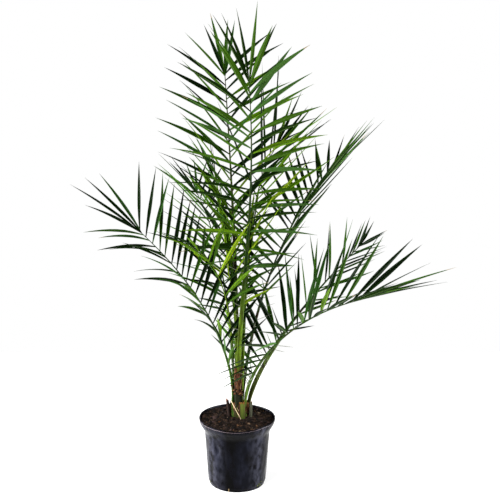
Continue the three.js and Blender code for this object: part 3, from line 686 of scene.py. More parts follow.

# %% [markdown]
# ## The rule of the fronds
#
# Each frond is the same machine with other numbers. A rib leaves the stem at some slope and
# heading, and both change evenly on the way to the tip. Leaflets stand along its last
# stretch in loose pairs, which are turned in turn a little one way and the other. The table
# repeats the CAD's numbers, so the finer leaflets grow where the CAD's thick ones are. Only
# the last row was set one by one: for the others a fit gave the ribs' lines, and search programs
# gave the leaflets' numbers and the seeds. Some CAD leaflets were turned aside or left out,
# because they would have touched another frond: those are recognised by where the CAD's tips
# are. The finer leaflets twist and bend, so some of them do cross.

# %% Fronds
USUAL = dict(turn=0, ease=1, pairs=16, splay=(85, 30), splay_ease=1.8, fan=0, first_leaf=0.8, last_leaf=0.85,
             fullest=0.4, lift=25, fan_lift=0, roll=0, twist=0, droop=0.05, left_share=1, leaf_width=13)
FRONDS = {
    "front_tall": dict(
        foot=(4, -13), stalk=(21, 12), length=1035, heading=-46, turn=-57, rise=(96, 67.5), ease=0.52,
        bare=0.43, pairs=20, splay=(86, 27), splay_ease=2.2, fan=6, leaf=240, leaf_width=17,
        first_leaf=0.76, fullest=0.75, last_leaf=0.95, left_share=0.93, lift=10, roll=6, twist=9,
        droop=0.1, seed=3244),
    "left_arching": dict(
        foot=(-14, -8), stalk=(11, 9), length=645, heading=195, rise=(101, 44.5), ease=0.5, bare=0.2,
        pairs=20, splay=(50, 50), leaf=260, leaf_width=12, fullest=0.2, last_leaf=0.98, left_share=1.15,
        lift=41, roll=45, twist=16, droop=0.11, seed=1578),
    "right_low": dict(
        foot=(25, -12), stalk=(13, 9), length=540, heading=-18, rise=(90, 17.5), ease=0.63, bare=0.18,
        pairs=18, splay=(90, 33), splay_ease=1.5, leaf=285, fullest=0.2, last_leaf=0.95, lift=32,
        roll=-29, twist=20, seed=43),
    "right_low_back": dict(
        foot=(37.5, -0.5), stalk=(12, 9), length=690, heading=25, turn=26, rise=(85.5, 21.5), ease=0.45,
        bare=0.32, pairs=14, splay=(53, 20), splay_ease=1, fan=3, leaf=180, leaf_width=11,
        first_leaf=0.46, fullest=0.56, last_leaf=0.65, left_share=1.05, lift=26, fan_lift=-2, roll=-35,
        twist=-10, droop=-0.03, seed=3012),
    "right_high": dict(
        foot=(16, 14), stalk=(11, 8), length=885, heading=43, turn=8, rise=(82.5, 24), ease=1.2,
        bare=0.36, pairs=19, splay=(69, 17), splay_ease=2.3, leaf=300, leaf_width=13.5, first_leaf=0.9,
        fullest=0.12, last_leaf=0.82, left_share=0.76, lift=36, roll=-10, twist=20, droop=0, seed=97),
    "back_tall": dict(
        foot=(-1, 11.5), stalk=(12, 9), length=1060, heading=106, turn=-9, rise=(93, 60), ease=1.1,
        bare=0.51, pairs=18, splay=(47, 67), splay_ease=0.5, fan=6, leaf=275, leaf_width=17,
        first_leaf=1, fullest=0.1, last_leaf=0.81, lift=36, fan_lift=-6, roll=8, twist=-5, droop=0.08,
        seed=3434),
    "right_upright": dict(
        foot=(12.5, 0.5), stalk=(10, 9), length=835, heading=58, turn=-2, rise=(86, 34), ease=3.9,
        bare=0.54, pairs=12, splay=(61, 36), leaf=285, leaf_width=14, last_leaf=0.76, left_share=1.2,
        lift=50, twist=-45, droop=-0.03, seed=1315),
    "young_spear": dict(
        foot=(1.5, -0.3), stalk=(8.5, 8.5), length=750, heading=149, turn=-18, rise=(91, 71), ease=1.2,
        bare=0.4, pairs=13, splay=(41, 12), splay_ease=1.5, fan=6, leaf=205, leaf_width=10.5,
        first_leaf=0.68, fullest=0.1, last_leaf=0.6, left_share=1.3, lift=11, roll=59, twist=40,
        droop=0.15, seed=3921),
    "left_inner": dict(
        foot=(-9, 1.5), stalk=(8, 8), length=560, heading=221, turn=11, rise=(88.5, 27), ease=2.7,
        bare=0.36, pairs=10, splay=(67, 28), splay_ease=1.1, leaf=215, first_leaf=0.3, fullest=0.7,
        last_leaf=0.8, left_share=1.2, lift=20, roll=12, twist=-16, droop=0.13, seed=2661),
    "back_arching": dict(
        foot=(-9, 19), stalk=(10, 8), length=740, heading=110, turn=4, rise=(86, 30), ease=1.3,
        bare=0.36, splay=(80, 28), leaf=230, first_leaf=0.6, lift=28, seed=77),
}
FRONDS = {name: {**USUAL, **frond} for name, frond in FRONDS.items()}
FROND_FOOT = cad_box("stalk_front_tall")[0][2]
RIB_TIP = np.array([2.6, 2.4])
RIB_TAPER = 0.9
# The leaflets at the very tip: splay, length as a share of what the rule gives there, and side.
LAST_LEAVES = np.array([[5, 0.99, 1], [10, 1.1, -1], [16, 0.94, 1], [21, 0.88, -1]])
# Turns of splay and lift, in degrees, that set a leaflet aside.
SHIFTS = [(0, 0), (0, 8), (0, -8), (6, 0), (-6, 0), (5, 14), (-5, -14), (9, -10), (-9, 10), (0, 20), (0, -20)]
print("fronds:", ", ".join(FRONDS))


# %% The rib's line
def rib(frond, s):
    """Place and directions of a rib at shares s of its length.

    The slope eases from the foot's to the tip's, and the heading turns evenly. The place is
    the running sum of short steps along that direction. Across lies in the leaflets' plane,
    and up stands out of it: both are the level pair, turned about the rib by roll and twist."""
    def direction(share):
        slope = np.radians(mix(*frond["rise"], share ** frond["ease"]))
        bearing = np.radians(frond["heading"] + frond["turn"] * share)
        flat = np.cos(slope)
        return np.stack([flat * np.cos(bearing), flat * np.sin(bearing), np.sin(slope)], axis=-1), bearing

    steps = 48
    stride, _ = direction((np.arange(steps) + 0.5) / steps)
    places = np.cumsum(np.vstack([[*frond["foot"], FROND_FOOT], stride * frond["length"] / steps]), axis=0)
    s = np.asarray(s, float)
    along, bearing = direction(s)
    place = np.stack([np.interp(s * steps, np.arange(steps + 1), places[:, k]) for k in range(3)], axis=-1)
    level = np.stack([np.sin(bearing), -np.cos(bearing), np.zeros_like(s)], axis=-1)
    lean = -np.radians(frond["roll"] + frond["twist"] * s)
    return place, along, turned(level, along, lean), turned(-np.cross(along, level), along, lean)


def rib_half(frond, s):
    """Half width and half thickness of the rib: they shrink almost evenly towards the tip."""
    left = ((1 - np.asarray(s)) ** RIB_TAPER)[..., None]
    return mix(RIB_TIP, np.array(frond["stalk"]), left) / 2


def off_the_rib(frond, s, angle, stand_off):
    """Points round a rib at shares s: its place + (half width + stand-off) sin(angle) across
    + (half thickness + stand-off) cos(angle) up."""
    place, _, across, up = rib(frond, s)
    half = rib_half(frond, s)
    return place + (half[..., :1] + stand_off[..., None]) * np.sin(angle)[..., None] * across \
        + (half[..., 1:] + stand_off[..., None]) * np.cos(angle)[..., None] * up


# %% The leaflets' places
def length_share(frond, u):
    """Length of the leaflet at a share u of the leafy stretch: a quarter sine up to the fullest
    place, then a slow fall towards the tip."""
    full = frond["fullest"]
    rising = mix(frond["first_leaf"], 1, np.sin(np.pi / 2 * np.clip(u / full, 0, 1)))
    falling = mix(1, frond["last_leaf"], np.clip((u - full) / (1 - full), 0, 1) ** 1.5)
    return np.where(u < full, rising, falling)


def leaflets_of(frond):
    """Arrays that describe every leaflet: where it grows, its angles and its sizes."""
    pairs, seed = frond["pairs"], frond["seed"]
    number = np.arange(2 * pairs) + 1
    side = np.where(number % 2 == 1, 1, -1)
    turn_by = np.repeat(np.where(np.arange(pairs) % 2 == 0, 1, -1), 2)
    u = (np.repeat(np.arange(pairs), 2) + 0.5 + 0.22 * side + 0.25 * spread(seed, number, 1)) / pairs
    u = np.clip(u, 0, 1)
    share = length_share(frond, u)
    length = frond["leaf"] * share * (1 + 0.08 * spread(seed, number, 4))
    last = len(LAST_LEAVES)
    return dict(
        s=np.append(mix(frond["bare"], 1, u), np.full(last, 0.985)),
        side=np.append(side, LAST_LEAVES[:, 2]),
        splay=np.append(mix(*frond["splay"], u ** frond["splay_ease"]) + turn_by * frond["fan"]
                        + 6 * spread(seed, number, 2), LAST_LEAVES[:, 0]),
        lift=np.append(frond["lift"] + turn_by * frond["fan_lift"] + 9.6 * spread(seed, number, 3),
                       np.full(last, frond["lift"])),
        length=np.append(length * np.where(side < 0, frond["left_share"], 1),
                         frond["leaf"] * frond["last_leaf"] * LAST_LEAVES[:, 1]),
        half=np.append(
            frond["leaf_width"] * mix(0.75, 1, share) / 2, np.full(last, 0.38 * frond["leaf_width"])),
        slant=np.append(-25 * side + 35 * spread(seed, number, 5), np.zeros(last)),
        last=np.arange(2 * pairs + last) >= 2 * pairs,
        number=np.arange(2 * pairs + last) + 1,
    )


def placed(frond, leaf, shift):
    """Root, direction, width direction and upper side of each leaflet under a shift of its
    angles: it leans from the rib by splay, out of the leaflets' plane by lift, and is turned
    about itself by slant."""
    root, rib_along, across, up = rib(frond, leaf["s"])
    more_splay = np.where(leaf["last"], shift[1] / 2, shift[0])
    splay = np.radians(leaf["splay"] + more_splay)[:, None]
    lift = np.radians(leaf["lift"] + shift[1])[:, None]
    outward = leaf["side"][:, None] * np.cos(lift) * across + np.sin(lift) * up
    along = np.cos(splay) * rib_along + np.sin(splay) * outward
    edgeways = np.where(leaf["last"][:, None], across, rib_along)
    flat = unit(edgeways - along * (edgeways * along).sum(-1, keepdims=True))
    width = turned(flat, along, np.radians(leaf["slant"]))
    upper_side = np.where(leaf["last"], -1, leaf["side"])[:, None]
    return root, along, width, upper_side * np.cross(along, width)


def leaflets_in_place(name):
    """The frond's leaflets, each under the shift whose tip is a corner of the CAD frond. Those
    with no such tip were left out of the CAD, and are left out here."""
    frond = FRONDS[name]
    leaf = leaflets_of(frond)
    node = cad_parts[f"frond_{name}"].data
    corners = np.empty(3 * len(node.vertices), np.float32)
    node.vertices.foreach_get("co", corners)
    corners = corners.reshape(-1, 3) / MM
    chosen = [np.zeros((len(leaf["s"]), 3)) for _ in range(4)]
    found = np.zeros(len(leaf["s"]), bool)
    for shift in SHIFTS:
        parts = placed(frond, leaf, shift)
        tip = parts[0] + parts[1] * leaf["length"][:, None]
        tip[:, 2] -= frond["droop"] * leaf["length"]
        distance = np.linalg.norm(tip[:, None] - corners[None], axis=-1).min(axis=1)
        new = (distance < 0.5) & ~found
        for kept, part in zip(chosen, parts):
            kept[new] = part[new]
        found |= new
    print(f"{name}: {found.sum()} of {len(found)} leaflets")
    return {key: value[found] for key, value in leaf.items()}, [part[found] for part in chosen]


# %% [markdown]
# ## Leaflets
#
# A date palm's leaflet is a stiff blade, folded along its keel like a narrow boat, with the
# open side up. It starts steeply folded at the rib, opens out past the middle, and runs out to
# a fine point. Each one is a thin closed skin of rings, so it has an upper side, a paler back
# and a pale keel. The crease along the upper side is painted dark: painted shade, where the
# fold's valley would lie in shadow. One in eleven has a dry tip. Each also twists and bends a
# little, because no two lie alike.

# %% Leaflet surface
STATIONS = np.array([0, 0.05, 0.13, 0.23, 0.34, 0.46, 0.58, 0.70, 0.81, 0.90, 0.965, 1.0])
COLUMNS = np.array([-1, -0.55, -0.13, 0.13, 0.55, 1.0])
WIDEST = 0.36
THICKNESS = 0.8


def blade_outline(v):
    """Half width along the blade, as a share of the largest: a quarter sine from a third up to
    the widest place, then a slightly rounded taper to the point."""
    rising = mix(0.36, 1, np.sin(np.pi / 2 * np.clip(v / WIDEST, 0, 1)))
    falling = 1 - np.clip((v - WIDEST) / (1 - WIDEST), 0, 1) ** 1.35
    return np.where(v < WIDEST, rising, np.maximum(falling, 0.02))


def leaflet_rings(frond, leaf, places):
    """Rings of every leaflet of a frond, shaped (leaflet, ring, point, xyz).

    The middle line runs straight from the root, sags with the square of the way along, and
    bends sideways a little. Each half of the blade rises from the keel at the fold angle,
    which opens from steep at the root to shallow past the middle."""
    root, along, width, upper = places
    seed, number = frond["seed"], leaf["number"]
    v = STATIONS[None]
    length = leaf["length"][:, None]
    twist = np.radians(34) * spread(seed, number, 6)[:, None] * v
    bend = 0.035 * spread(seed, number, 7)[:, None] * v**2
    c, s = np.cos(twist)[..., None], np.sin(twist)[..., None]
    wide = width[:, None] * c + upper[:, None] * s
    high = upper[:, None] * c - width[:, None] * s
    middle = root[:, None] + along[:, None] * (v * length)[..., None] + wide * (bend * length)[..., None]
    middle[..., 2] -= frond["droop"] * length * v**2
    half = leaf["half"][:, None] * blade_outline(v)
    fold = np.radians(mix(62, 31, np.clip(v / 0.5, 0, 1)) + 8 * spread(seed, number, 8)[:, None])
    out = COLUMNS * (half * np.cos(fold))[..., None] * 1.18
    arch = 0.12 * np.sin(np.pi * np.abs(COLUMNS))
    rise = (np.abs(COLUMNS) + arch - 0.45) * (half * np.sin(fold))[..., None]
    skin = THICKNESS / 2 * (1 - 0.75 * v)[..., None]
    ring_out = np.concatenate([out, out[..., ::-1]], axis=-1)
    ring_rise = np.concatenate([rise + skin, (rise - skin)[..., ::-1]], axis=-1)
    place = middle[:, :, None] + ring_out[..., None] * wide[:, :, None]
    return place + ring_rise[..., None] * high[:, :, None]


# %% Leaflets of every frond
# Shares of the leaf tints deep, mid, bluish (a painted sheen), fresh and lime: for the lowest leaflets, and
# at the tip.
PALETTES = {
    "front_tall": ((0.54, 0.28, 0.10, 0.08, 0.0), (0.52, 0.26, 0.16, 0.06, 0.0)),
    "left_arching": ((0.60, 0.24, 0.12, 0.04, 0.0), (0.64, 0.20, 0.16, 0.0, 0.0)),
    "right_low": ((0.86, 0.14, 0.0, 0.0, 0.0), (0.46, 0.32, 0.18, 0.04, 0.0)),
    "right_low_back": ((0.60, 0.26, 0.14, 0.0, 0.0), (0.64, 0.22, 0.14, 0.0, 0.0)),
    "right_high": ((0.62, 0.26, 0.06, 0.06, 0.0), (0.68, 0.24, 0.08, 0.0, 0.0)),
    "back_tall": ((0.14, 0.32, 0.04, 0.40, 0.10), (0.52, 0.30, 0.14, 0.04, 0.0)),
    "right_upright": ((0.08, 0.20, 0.0, 0.44, 0.28), (0.34, 0.42, 0.08, 0.16, 0.0)),
    "young_spear": ((0.14, 0.32, 0.0, 0.38, 0.16), (0.36, 0.42, 0.08, 0.14, 0.0)),
    "left_inner": ((0.18, 0.32, 0.0, 0.38, 0.12), (0.34, 0.36, 0.10, 0.18, 0.02)),
    "back_arching": ((0.30, 0.34, 0.16, 0.20, 0.0), (0.38, 0.34, 0.16, 0.12, 0.0)),
}
# How much broader some fronds' leaflets are than the CAD's.
BROADER = {"right_low": 1.25, "right_low_back": 1.2, "right_high": 1.1, "left_arching": 1.08}
TINT_NAMES = list(LEAF_TINTS)
leaf_materials = [m for tint in TINT_NAMES for m in (leaf_faces[tint], leaf_backs[tint])]
leaf_materials += [painted_crease_shade, leaf_keel, dry_tip]
CREASE_SHADE_NUMBER, KEEL_NUMBER, DRY_NUMBER = np.arange(3) + len(leaf_materials) - 3
UPPER_COLUMNS = len(COLUMNS) - 1
column_side = np.array([0] * UPPER_COLUMNS + [1] + [1] * UPPER_COLUMNS + [0])
CREASE_SHADE_COLUMN = UPPER_COLUMNS // 2
KEEL_COLUMN = UPPER_COLUMNS + 1 + UPPER_COLUMNS // 2


def color_the_folds(blades, count):
    """Give every blade painted shade along the crease of its upper side, a pale keel along its back,
    and one in eleven a dry tip. The wall faces run blade by blade and ring by ring, so a face's
    column is what is left of its number over the points in a ring."""
    numbers = np.empty(len(blades.data.polygons), np.int32)
    blades.data.polygons.foreach_get("material_index", numbers)
    walls = count * (len(STATIONS) - 1) * 2 * len(COLUMNS)
    column = np.arange(walls) % (2 * len(COLUMNS))
    numbers[:walls][column == CREASE_SHADE_COLUMN] = CREASE_SHADE_NUMBER
    numbers[:walls][column == KEEL_COLUMN] = KEEL_NUMBER
    ring = np.arange(walls) // (2 * len(COLUMNS)) % (len(STATIONS) - 1)
    blade = np.arange(walls) // (2 * len(COLUMNS) * (len(STATIONS) - 1))
    numbers[:walls][(ring >= len(STATIONS) - 3) & (blade % 11 == 4)] = DRY_NUMBER
    blades.data.polygons.foreach_set("material_index", numbers)


def dealt_tints(rng, palette, way):
    """A seeded tint for each leaflet, from shares that change along the frond: the number of
    running sums of the shares that a random number passes."""
    shares = mix(*(np.array(end)[None] for end in palette), way[:, None])
    return 2 * (rng.uniform(0, 1, (len(way), 1)) > np.cumsum(shares[:, :-1], axis=1)).sum(axis=1)


for name, frond in FRONDS.items():
    leaf, places = leaflets_in_place(name)
    leaf["half"] = leaf["half"] * BROADER.get(name, 1.0)
    way = (leaf["s"] - frond["bare"]) / (1 - frond["bare"])
    tint = dealt_tints(np.random.default_rng(frond["seed"]), PALETTES[name], way)
    blades = make_piece(
        f"leaflets_{name}", leaflet_rings(frond, leaf, places), leaf_materials,
        (f"frond_{name}",), tint=tint, column_tint=column_side,
        crease=24)
    color_the_folds(blades, len(tint))

# %% [markdown]
# ## Closed young leaflets
#
# On the two youngest fronds many leaflets haven't opened yet. They hug the rib in a tight
# bundle, within a few degrees of its line, and pass through one another there. The ones on
# the bundle's left get brighter tints and the others darker ones, which stand in for light.

# %% Leaflets that are still closed
# Where a bundle begins and ends, as shares of the rib's length, and how many leaflets it has.
CLOSED = {"young_spear": (0.36, 0.80, 70), "right_upright": (0.40, 0.68, 28)}
LIT_SHARES = ((0.0, 0.06, 0.0, 0.34, 0.60), (0.0, 0.08, 0.0, 0.32, 0.60))
SHADED_SHARES = ((0.45, 0.40, 0.0, 0.15, 0.0), (0.30, 0.45, 0.0, 0.25, 0.0))
for name, (first, final, count) in CLOSED.items():
    frond = FRONDS[name]
    rng = np.random.default_rng(frond["seed"] + 1)
    s = rng.uniform(first, final, count)
    root, rib_along, across, up = rib(frond, s)
    round_ = rng.uniform(0, 2 * np.pi, count)[:, None]
    outward = np.cos(round_) * across + np.sin(round_) * up
    lean = np.radians(rng.uniform(0.3, 2.6, count))[:, None]
    along = np.cos(lean) * rib_along + np.sin(lean) * outward
    start = root + outward * rng.uniform(2.0, 8.0, (count, 1))
    leaf = dict(
        length=rng.uniform(80, 160, count), half=rng.uniform(2.8, 4.8, count), number=np.arange(count) + 300)
    faces_left = outward[:, 0] < 0.1
    way = (s - first) / (final - first)
    tint = np.where(faces_left, dealt_tints(rng, LIT_SHARES, way), dealt_tints(rng, SHADED_SHARES, way))
    places = (start, along, unit(np.cross(outward, along)), outward)
    blades = make_piece(
        f"closed_leaflets_{name}", leaflet_rings(frond, leaf, places), leaf_materials,
        tint=tint, column_tint=column_side, crease=24)
    color_the_folds(blades, count)

# %% [markdown]
# ## Ribs and stalks
#
# Below its leaflets a frond is a bare stalk, round at the back and hollowed along the front.
# It keeps going down past the CAD's joint to the soil as a widening leaf base that wraps the
# stem. One tube covers all of it, with colour from the map that runs along the tube. Each has
# colours of its own: six are nearly black at the soil, and the four upright ones in the middle
# are yellow-green above that.

# %% Stalk finishes
def stalk_finish(name, base, low, middle, high, streak_color):
    """Colour by the way along the tube: at the soil, low on the stalk, where the leaflets begin,
    and along the rib. Lengthwise streaks break it up, so that the stalk looks ribbed."""
    material = finish(name, middle, 0.45, 0.06)
    main = ramp(material, ways_on_map(material)[1], [
        (0.0, base), (0.115, base), (0.15, low), (0.36, middle), (0.54, high)])
    streak = ramp(material, stretched_noise(material, 130, (1, 1, 0.05), 3), [(0.46, BLACK), (0.66, WHITE)])
    return mixed_in(material, main, streak_color, streak)


DARK_BASE, RIB_GREEN = (0.016, 0.011, 0.006), (0.008, 0.030, 0.003)
GREEN, LIME, OLIVE = (0.045, 0.135, 0.006), (0.120, 0.190, 0.008), (0.075, 0.085, 0.018)
YOUNG_GREEN = (0.100, 0.180, 0.008)
STALK_COLORS = {
    "front_tall": (DARK_BASE, (0.130, 0.180, 0.008), (0.100, 0.185, 0.007), RIB_GREEN, (0.036, 0.052, 0.005)),
    "back_tall": (DARK_BASE, LIME, (0.075, 0.120, 0.008), (0.030, 0.040, 0.012), (0.030, 0.022, 0.006)),
    "young_spear": (DARK_BASE, LIME, (0.130, 0.200, 0.008), YOUNG_GREEN, (0.030, 0.060, 0.004)),
    "right_upright": (DARK_BASE, LIME, (0.090, 0.160, 0.008), YOUNG_GREEN, (0.020, 0.050, 0.004)),
    "left_inner": ((0.022, 0.050, 0.008), GREEN, LIME, LIME, (0.020, 0.045, 0.004)),
    "left_arching": (
        (0.022, 0.055, 0.008), (0.055, 0.105, 0.010), (0.040, 0.090, 0.008), (0.012, 0.040, 0.004),
        (0.020, 0.050, 0.006)),
    "right_high": (DARK_BASE, (0.018, 0.040, 0.006), (0.016, 0.045, 0.005), RIB_GREEN, (0.030, 0.014, 0.006)),
    "right_low": (
        (0.090, 0.170, 0.014), (0.075, 0.150, 0.012), (0.030, 0.065, 0.008), (0.014, 0.045, 0.005),
        (0.030, 0.035, 0.008)),
    "right_low_back": (
        (0.055, 0.065, 0.022), OLIVE, (0.055, 0.095, 0.012), (0.020, 0.060, 0.006), (0.022, 0.020, 0.008)),
    "back_arching": (
        DARK_BASE, (0.050, 0.080, 0.010), (0.040, 0.085, 0.008), RIB_GREEN, (0.020, 0.030, 0.006)),
}
STALK_FINISH = {name: stalk_finish(f"stalk_{name}", *colors) for name, colors in STALK_COLORS.items()}
# How much broader or slimmer a stalk is than the CAD's plain one, above its foot.
STALK_BREADTH = {
    "front_tall": 0.86, "back_tall": 1.30, "young_spear": 1.5, "right_upright": 1.25, "right_low": 1.35,
    "right_low_back": 1.30, "right_high": 1.1}

# %% Stalk surface
STEM_FOOT = stem_low[2]
STEM_HALF = (stem_high - stem_low)[:2] / 2
STALK_SIDES = 20
BASE_RINGS = 12


def stalk_section(sides):
    """The stalk's cross-section on a unit circle, from its front: pushed in along the front."""
    angle = 2 * np.pi * (np.arange(sides) + 0.5) / sides
    from_front = (angle + np.pi) % (2 * np.pi) - np.pi
    size = 1 - 0.38 * np.exp(-((from_front / 0.55) ** 2))
    return size * np.cos(angle), size * np.sin(angle)


def stalk_rings(name):
    """Rings from the soil up the stem and out along the rib to its tip.

    Down the stem the middle line moves from the foot to the stem's side, and the ring grows
    wider, as a leaf base does. Above the foot it follows the rib."""
    frond = FRONDS[name]
    up_share, across_share = stalk_section(STALK_SIDES)
    s = np.linspace(0, 1, 90) ** 1.15
    place, _, across, up = rib(frond, s)
    half = rib_half(frond, s) * mix(1, STALK_BREADTH.get(name, 1.0), np.clip(s / 0.06, 0, 1))[:, None]
    half *= mix(1, 0.72, np.clip((s - frond["bare"]) / 0.2, 0, 1))[:, None]
    down = np.linspace(1, 0, BASE_RINGS + 1)[:-1]
    foot = np.array(frond["foot"], float)
    away = (foot - STEM_MIDDLE) / STEM_HALF
    side = STEM_MIDDLE + away / max(np.linalg.norm(away), 0.3) * (STEM_HALF - 4)
    spot = mix(foot, side, (down**0.7)[:, None] * min(np.linalg.norm(away) * 1.3, 1))
    base_place = np.column_stack([spot, mix(FROND_FOOT, STEM_FOOT + 0.5, down)])
    outward = unit(np.append((foot - STEM_MIDDLE) / STEM_HALF, 0.0))
    round_ = np.cross([0, 0, 1.0], outward)
    base_half = half[0] * np.column_stack([1 + 0.75 * down**1.3, 1 + 0.15 * down])
    blend = down[:, None] ** 0.5
    sign = np.sign((across[0] * round_).sum()) or 1.0
    base_across = unit(mix(across[0] * np.ones((BASE_RINGS, 1)), sign * round_, blend))
    base_up = unit(mix(up[0] * np.ones((BASE_RINGS, 1)), -outward, blend))
    pairs = (base_place, place), (base_across, across), (base_up, up)
    place, across, up = (np.vstack(pair) for pair in pairs)
    half = np.vstack([base_half, half])
    ring = (half[:, :1, None] * across_share[:, None] * across[:, None]
            + half[:, 1:, None] * up_share[:, None] * up[:, None])
    rings = place[:, None] + ring
    rings[BASE_RINGS, :, 2] = FROND_FOOT
    return rings[None]


for name in FRONDS:
    make_piece(f"stalk_and_rib_{name}", stalk_rings(name), [STALK_FINISH[name]], (f"stalk_{name}",),
               crease=60)

# %% [markdown]
# ## Spines
#
# The lowest leaflets of a date palm are hard spines. They start short, well below the first
# true leaflets, stand out at wide angles and grow longer up the stalk. The tall frond at the
# back gets none.

# %% Spines low on the stalks
spine_tints = [
    finish("spine_grey", (0.20, 0.21, 0.15), 0.6, 0.3),
    finish("spine_green", (0.05, 0.12, 0.03), 0.5, 0.4),
]
SPINES = 5


def spine_paths(frond):
    """Straight lines from the rib: their length grows with the way up to the first leaflet."""
    number = np.arange(2 * SPINES) + 100
    side = np.where(number % 2 == 0, 1, -1)
    way = (np.repeat(np.arange(SPINES), 2) + 0.5 + 0.3 * spread(frond["seed"], number, 1)) / SPINES
    s = mix(max(frond["bare"] - 0.22, 0.11), frond["bare"], way)
    root, along, across, up = rib(frond, s)
    lean = np.radians(64 + 12 * spread(frond["seed"], number, 2))[:, None]
    lift = np.radians(frond["lift"] + 20 * spread(frond["seed"], number, 3))[:, None]
    heading = np.cos(lean) * along + np.sin(lean) * (
        side[:, None] * np.cos(lift) * across + np.sin(lift) * up)
    length = frond["leaf"] * mix(0.10, 0.36, way**1.5) * (1 + 0.2 * spread(frond["seed"], number, 4))
    steps = np.linspace(0, 1, 6)
    return root[:, None] + heading[:, None] * (length[:, None] * steps)[..., None]


spine_rings, spine_tint = [], []
for name, frond in FRONDS.items():
    if name == "back_tall":
        continue
    paths = spine_paths(frond)
    spine_rings.append(fibres_along(paths, np.full(len(paths), 1.5), sides=6, flat=0.55))
    spine_tint.append(np.arange(len(paths)) % 2)
make_piece("spines", np.concatenate(spine_rings), spine_tints, tint=np.concatenate(spine_tint))

# %% [markdown]
# ## Fibrous stem
#
# The stem is a bundle of old leaf bases held by a net of brown fibre. Its core is a lumpy
# upright body, and over it run loose strands. Strands are what the eye reads as coir, so
# there are many, in four tints, each a thin tube of its own.

# %% Stem core
def round_stem(reach, turn, height):
    """Points round the stem's middle line, at a reach that is a share of its half widths."""
    x = STEM_MIDDLE[0] + STEM_HALF[0] * reach * np.cos(turn)
    y = STEM_MIDDLE[1] + STEM_HALF[1] * reach * np.sin(turn)
    return np.stack([x, y, np.broadcast_to(height, x.shape)], axis=-1)


v = np.linspace(0, 1, 28)[:, None]
turn = 2 * np.pi * np.arange(96)[None] / 96
swell = np.interp(v, [0, 0.18, 0.45, 0.75, 0.94, 1], [0.86, 0.93, 0.98, 0.98, 1.0, 0.9])
rough = 1 + 0.045 * np.cos(9 * turn + 2.4 * v) + 0.025 * ripples(6 * turn, 5 * v, 31) \
    + 0.02 * ripples(22 * turn, 6 * v, 32)
core_scale = 0.90 * swell * rough
core = round_stem(core_scale, turn, mix(STEM_FOOT, stem_high[2], v))
make_piece("stem_core", core[None], [stem_fibre], ("stem",), crease=50)

# %% Loose strands on the stem
STRANDS = 260
rng = np.random.default_rng(41)
steps = np.linspace(0, 1, 9)[None]
start = rng.uniform(0, 2 * np.pi, (STRANDS, 1))
bottom = rng.uniform(0, 0.5, (STRANDS, 1))
top = np.minimum(bottom + rng.uniform(0.25, 0.8, (STRANDS, 1)), 1.12)
turn = start + rng.normal(0, 0.35, (STRANDS, 1)) * steps + 0.05 * np.sin(7 * steps + start)
level = mix(bottom, top, steps)
stand_out = 0.97 + rng.uniform(0, 0.07, (STRANDS, 1)) + 0.10 * rng.uniform(0, 1, (STRANDS, 1)) ** 4 * steps**3
strand_paths = round_stem(stand_out, turn, mix(STEM_FOOT, stem_high[2], level))
strand_rings = fibres_along(strand_paths, rng.uniform(0.35, 0.9, STRANDS), sides=5)
strand_tint = rng.choice(4, STRANDS, p=[0.36, 0.34, 0.22, 0.08])
make_piece("stem_strands", strand_rings, strand_tints, tint=strand_tint)

# %% [markdown]
# ## Sheath on the tall stalk
#
# A rag of old leaf sheath still clings to the front of the tallest stalk. It is a curved
# shell round the stalk's front half, torn off at the top. It is red-brown above and nearly
# black below, frayed fibres stick up from it, and torn lumps lie across its front.

# %% Sheath shell
SHEATH_TOP = (cad_box("sheath")[1][2] - FROND_FOOT) / FRONDS["front_tall"]["length"]
SHEATH_COLUMNS = 25


def sheath_rings():
    """A shell that stands a little off the stalk: outer points one way round its front, inner
    points back again. Each column has its own height, which makes the torn edge."""
    frond = FRONDS["front_tall"]
    column = np.linspace(-1, 1, SHEATH_COLUMNS)
    angle = np.pi + np.radians(112) * column
    tear = 0.80 - 0.22 * column
    tear = tear + 0.12 * ripples(9 * column, 0 * column, 51) + 0.05 * ripples(31 * column, 0 * column, 52)
    v = np.linspace(0, 1, 26)[:, None]
    s = SHEATH_TOP * v * np.clip(tear, 0.4, 1)[None]
    folds = 0.5 * ripples(7 * column[None], 6 * v, 53) + 0.3 * np.cos(14 * column[None] + 3 * v)
    outer = off_the_rib(frond, s, angle[None], 2.3 + folds)
    inner = off_the_rib(frond, s, angle[None], 0.5 + 0 * folds)
    return np.concatenate([outer, inner[:, ::-1]], axis=1)[None]


make_piece("sheath_shell", sheath_rings(), [sheath_fibre], ("sheath",), crease=60)

# %% Frayed fibres and the knot below the sheath
rng = np.random.default_rng(61)
FRAYS = 90
frond = FRONDS["front_tall"]
low_end = SHEATH_TOP * rng.uniform(0.38, 0.75, (FRAYS, 1))
high_end = low_end + SHEATH_TOP * rng.uniform(0.15, 0.38, (FRAYS, 1))
s = mix(low_end, high_end, np.linspace(0, 1, 7)[None])
angle = np.pi + np.radians(105) * rng.uniform(-1, 1, (FRAYS, 1))
angle = angle + rng.normal(0, 0.25, (FRAYS, 1)) * np.linspace(0, 1, 7)
off = 2.6 + rng.uniform(0, 0.9, (FRAYS, 1))
off = off + 3.0 * rng.uniform(0, 1, (FRAYS, 1)) ** 3 * np.linspace(0, 1, 7) ** 2
paths = off_the_rib(frond, s, angle, off)
make_piece("sheath_frays", fibres_along(paths, rng.uniform(0.3, 0.7, FRAYS)), strand_tints,
           tint=rng.choice(4, FRAYS, p=[0.34, 0.42, 0.18, 0.06]))

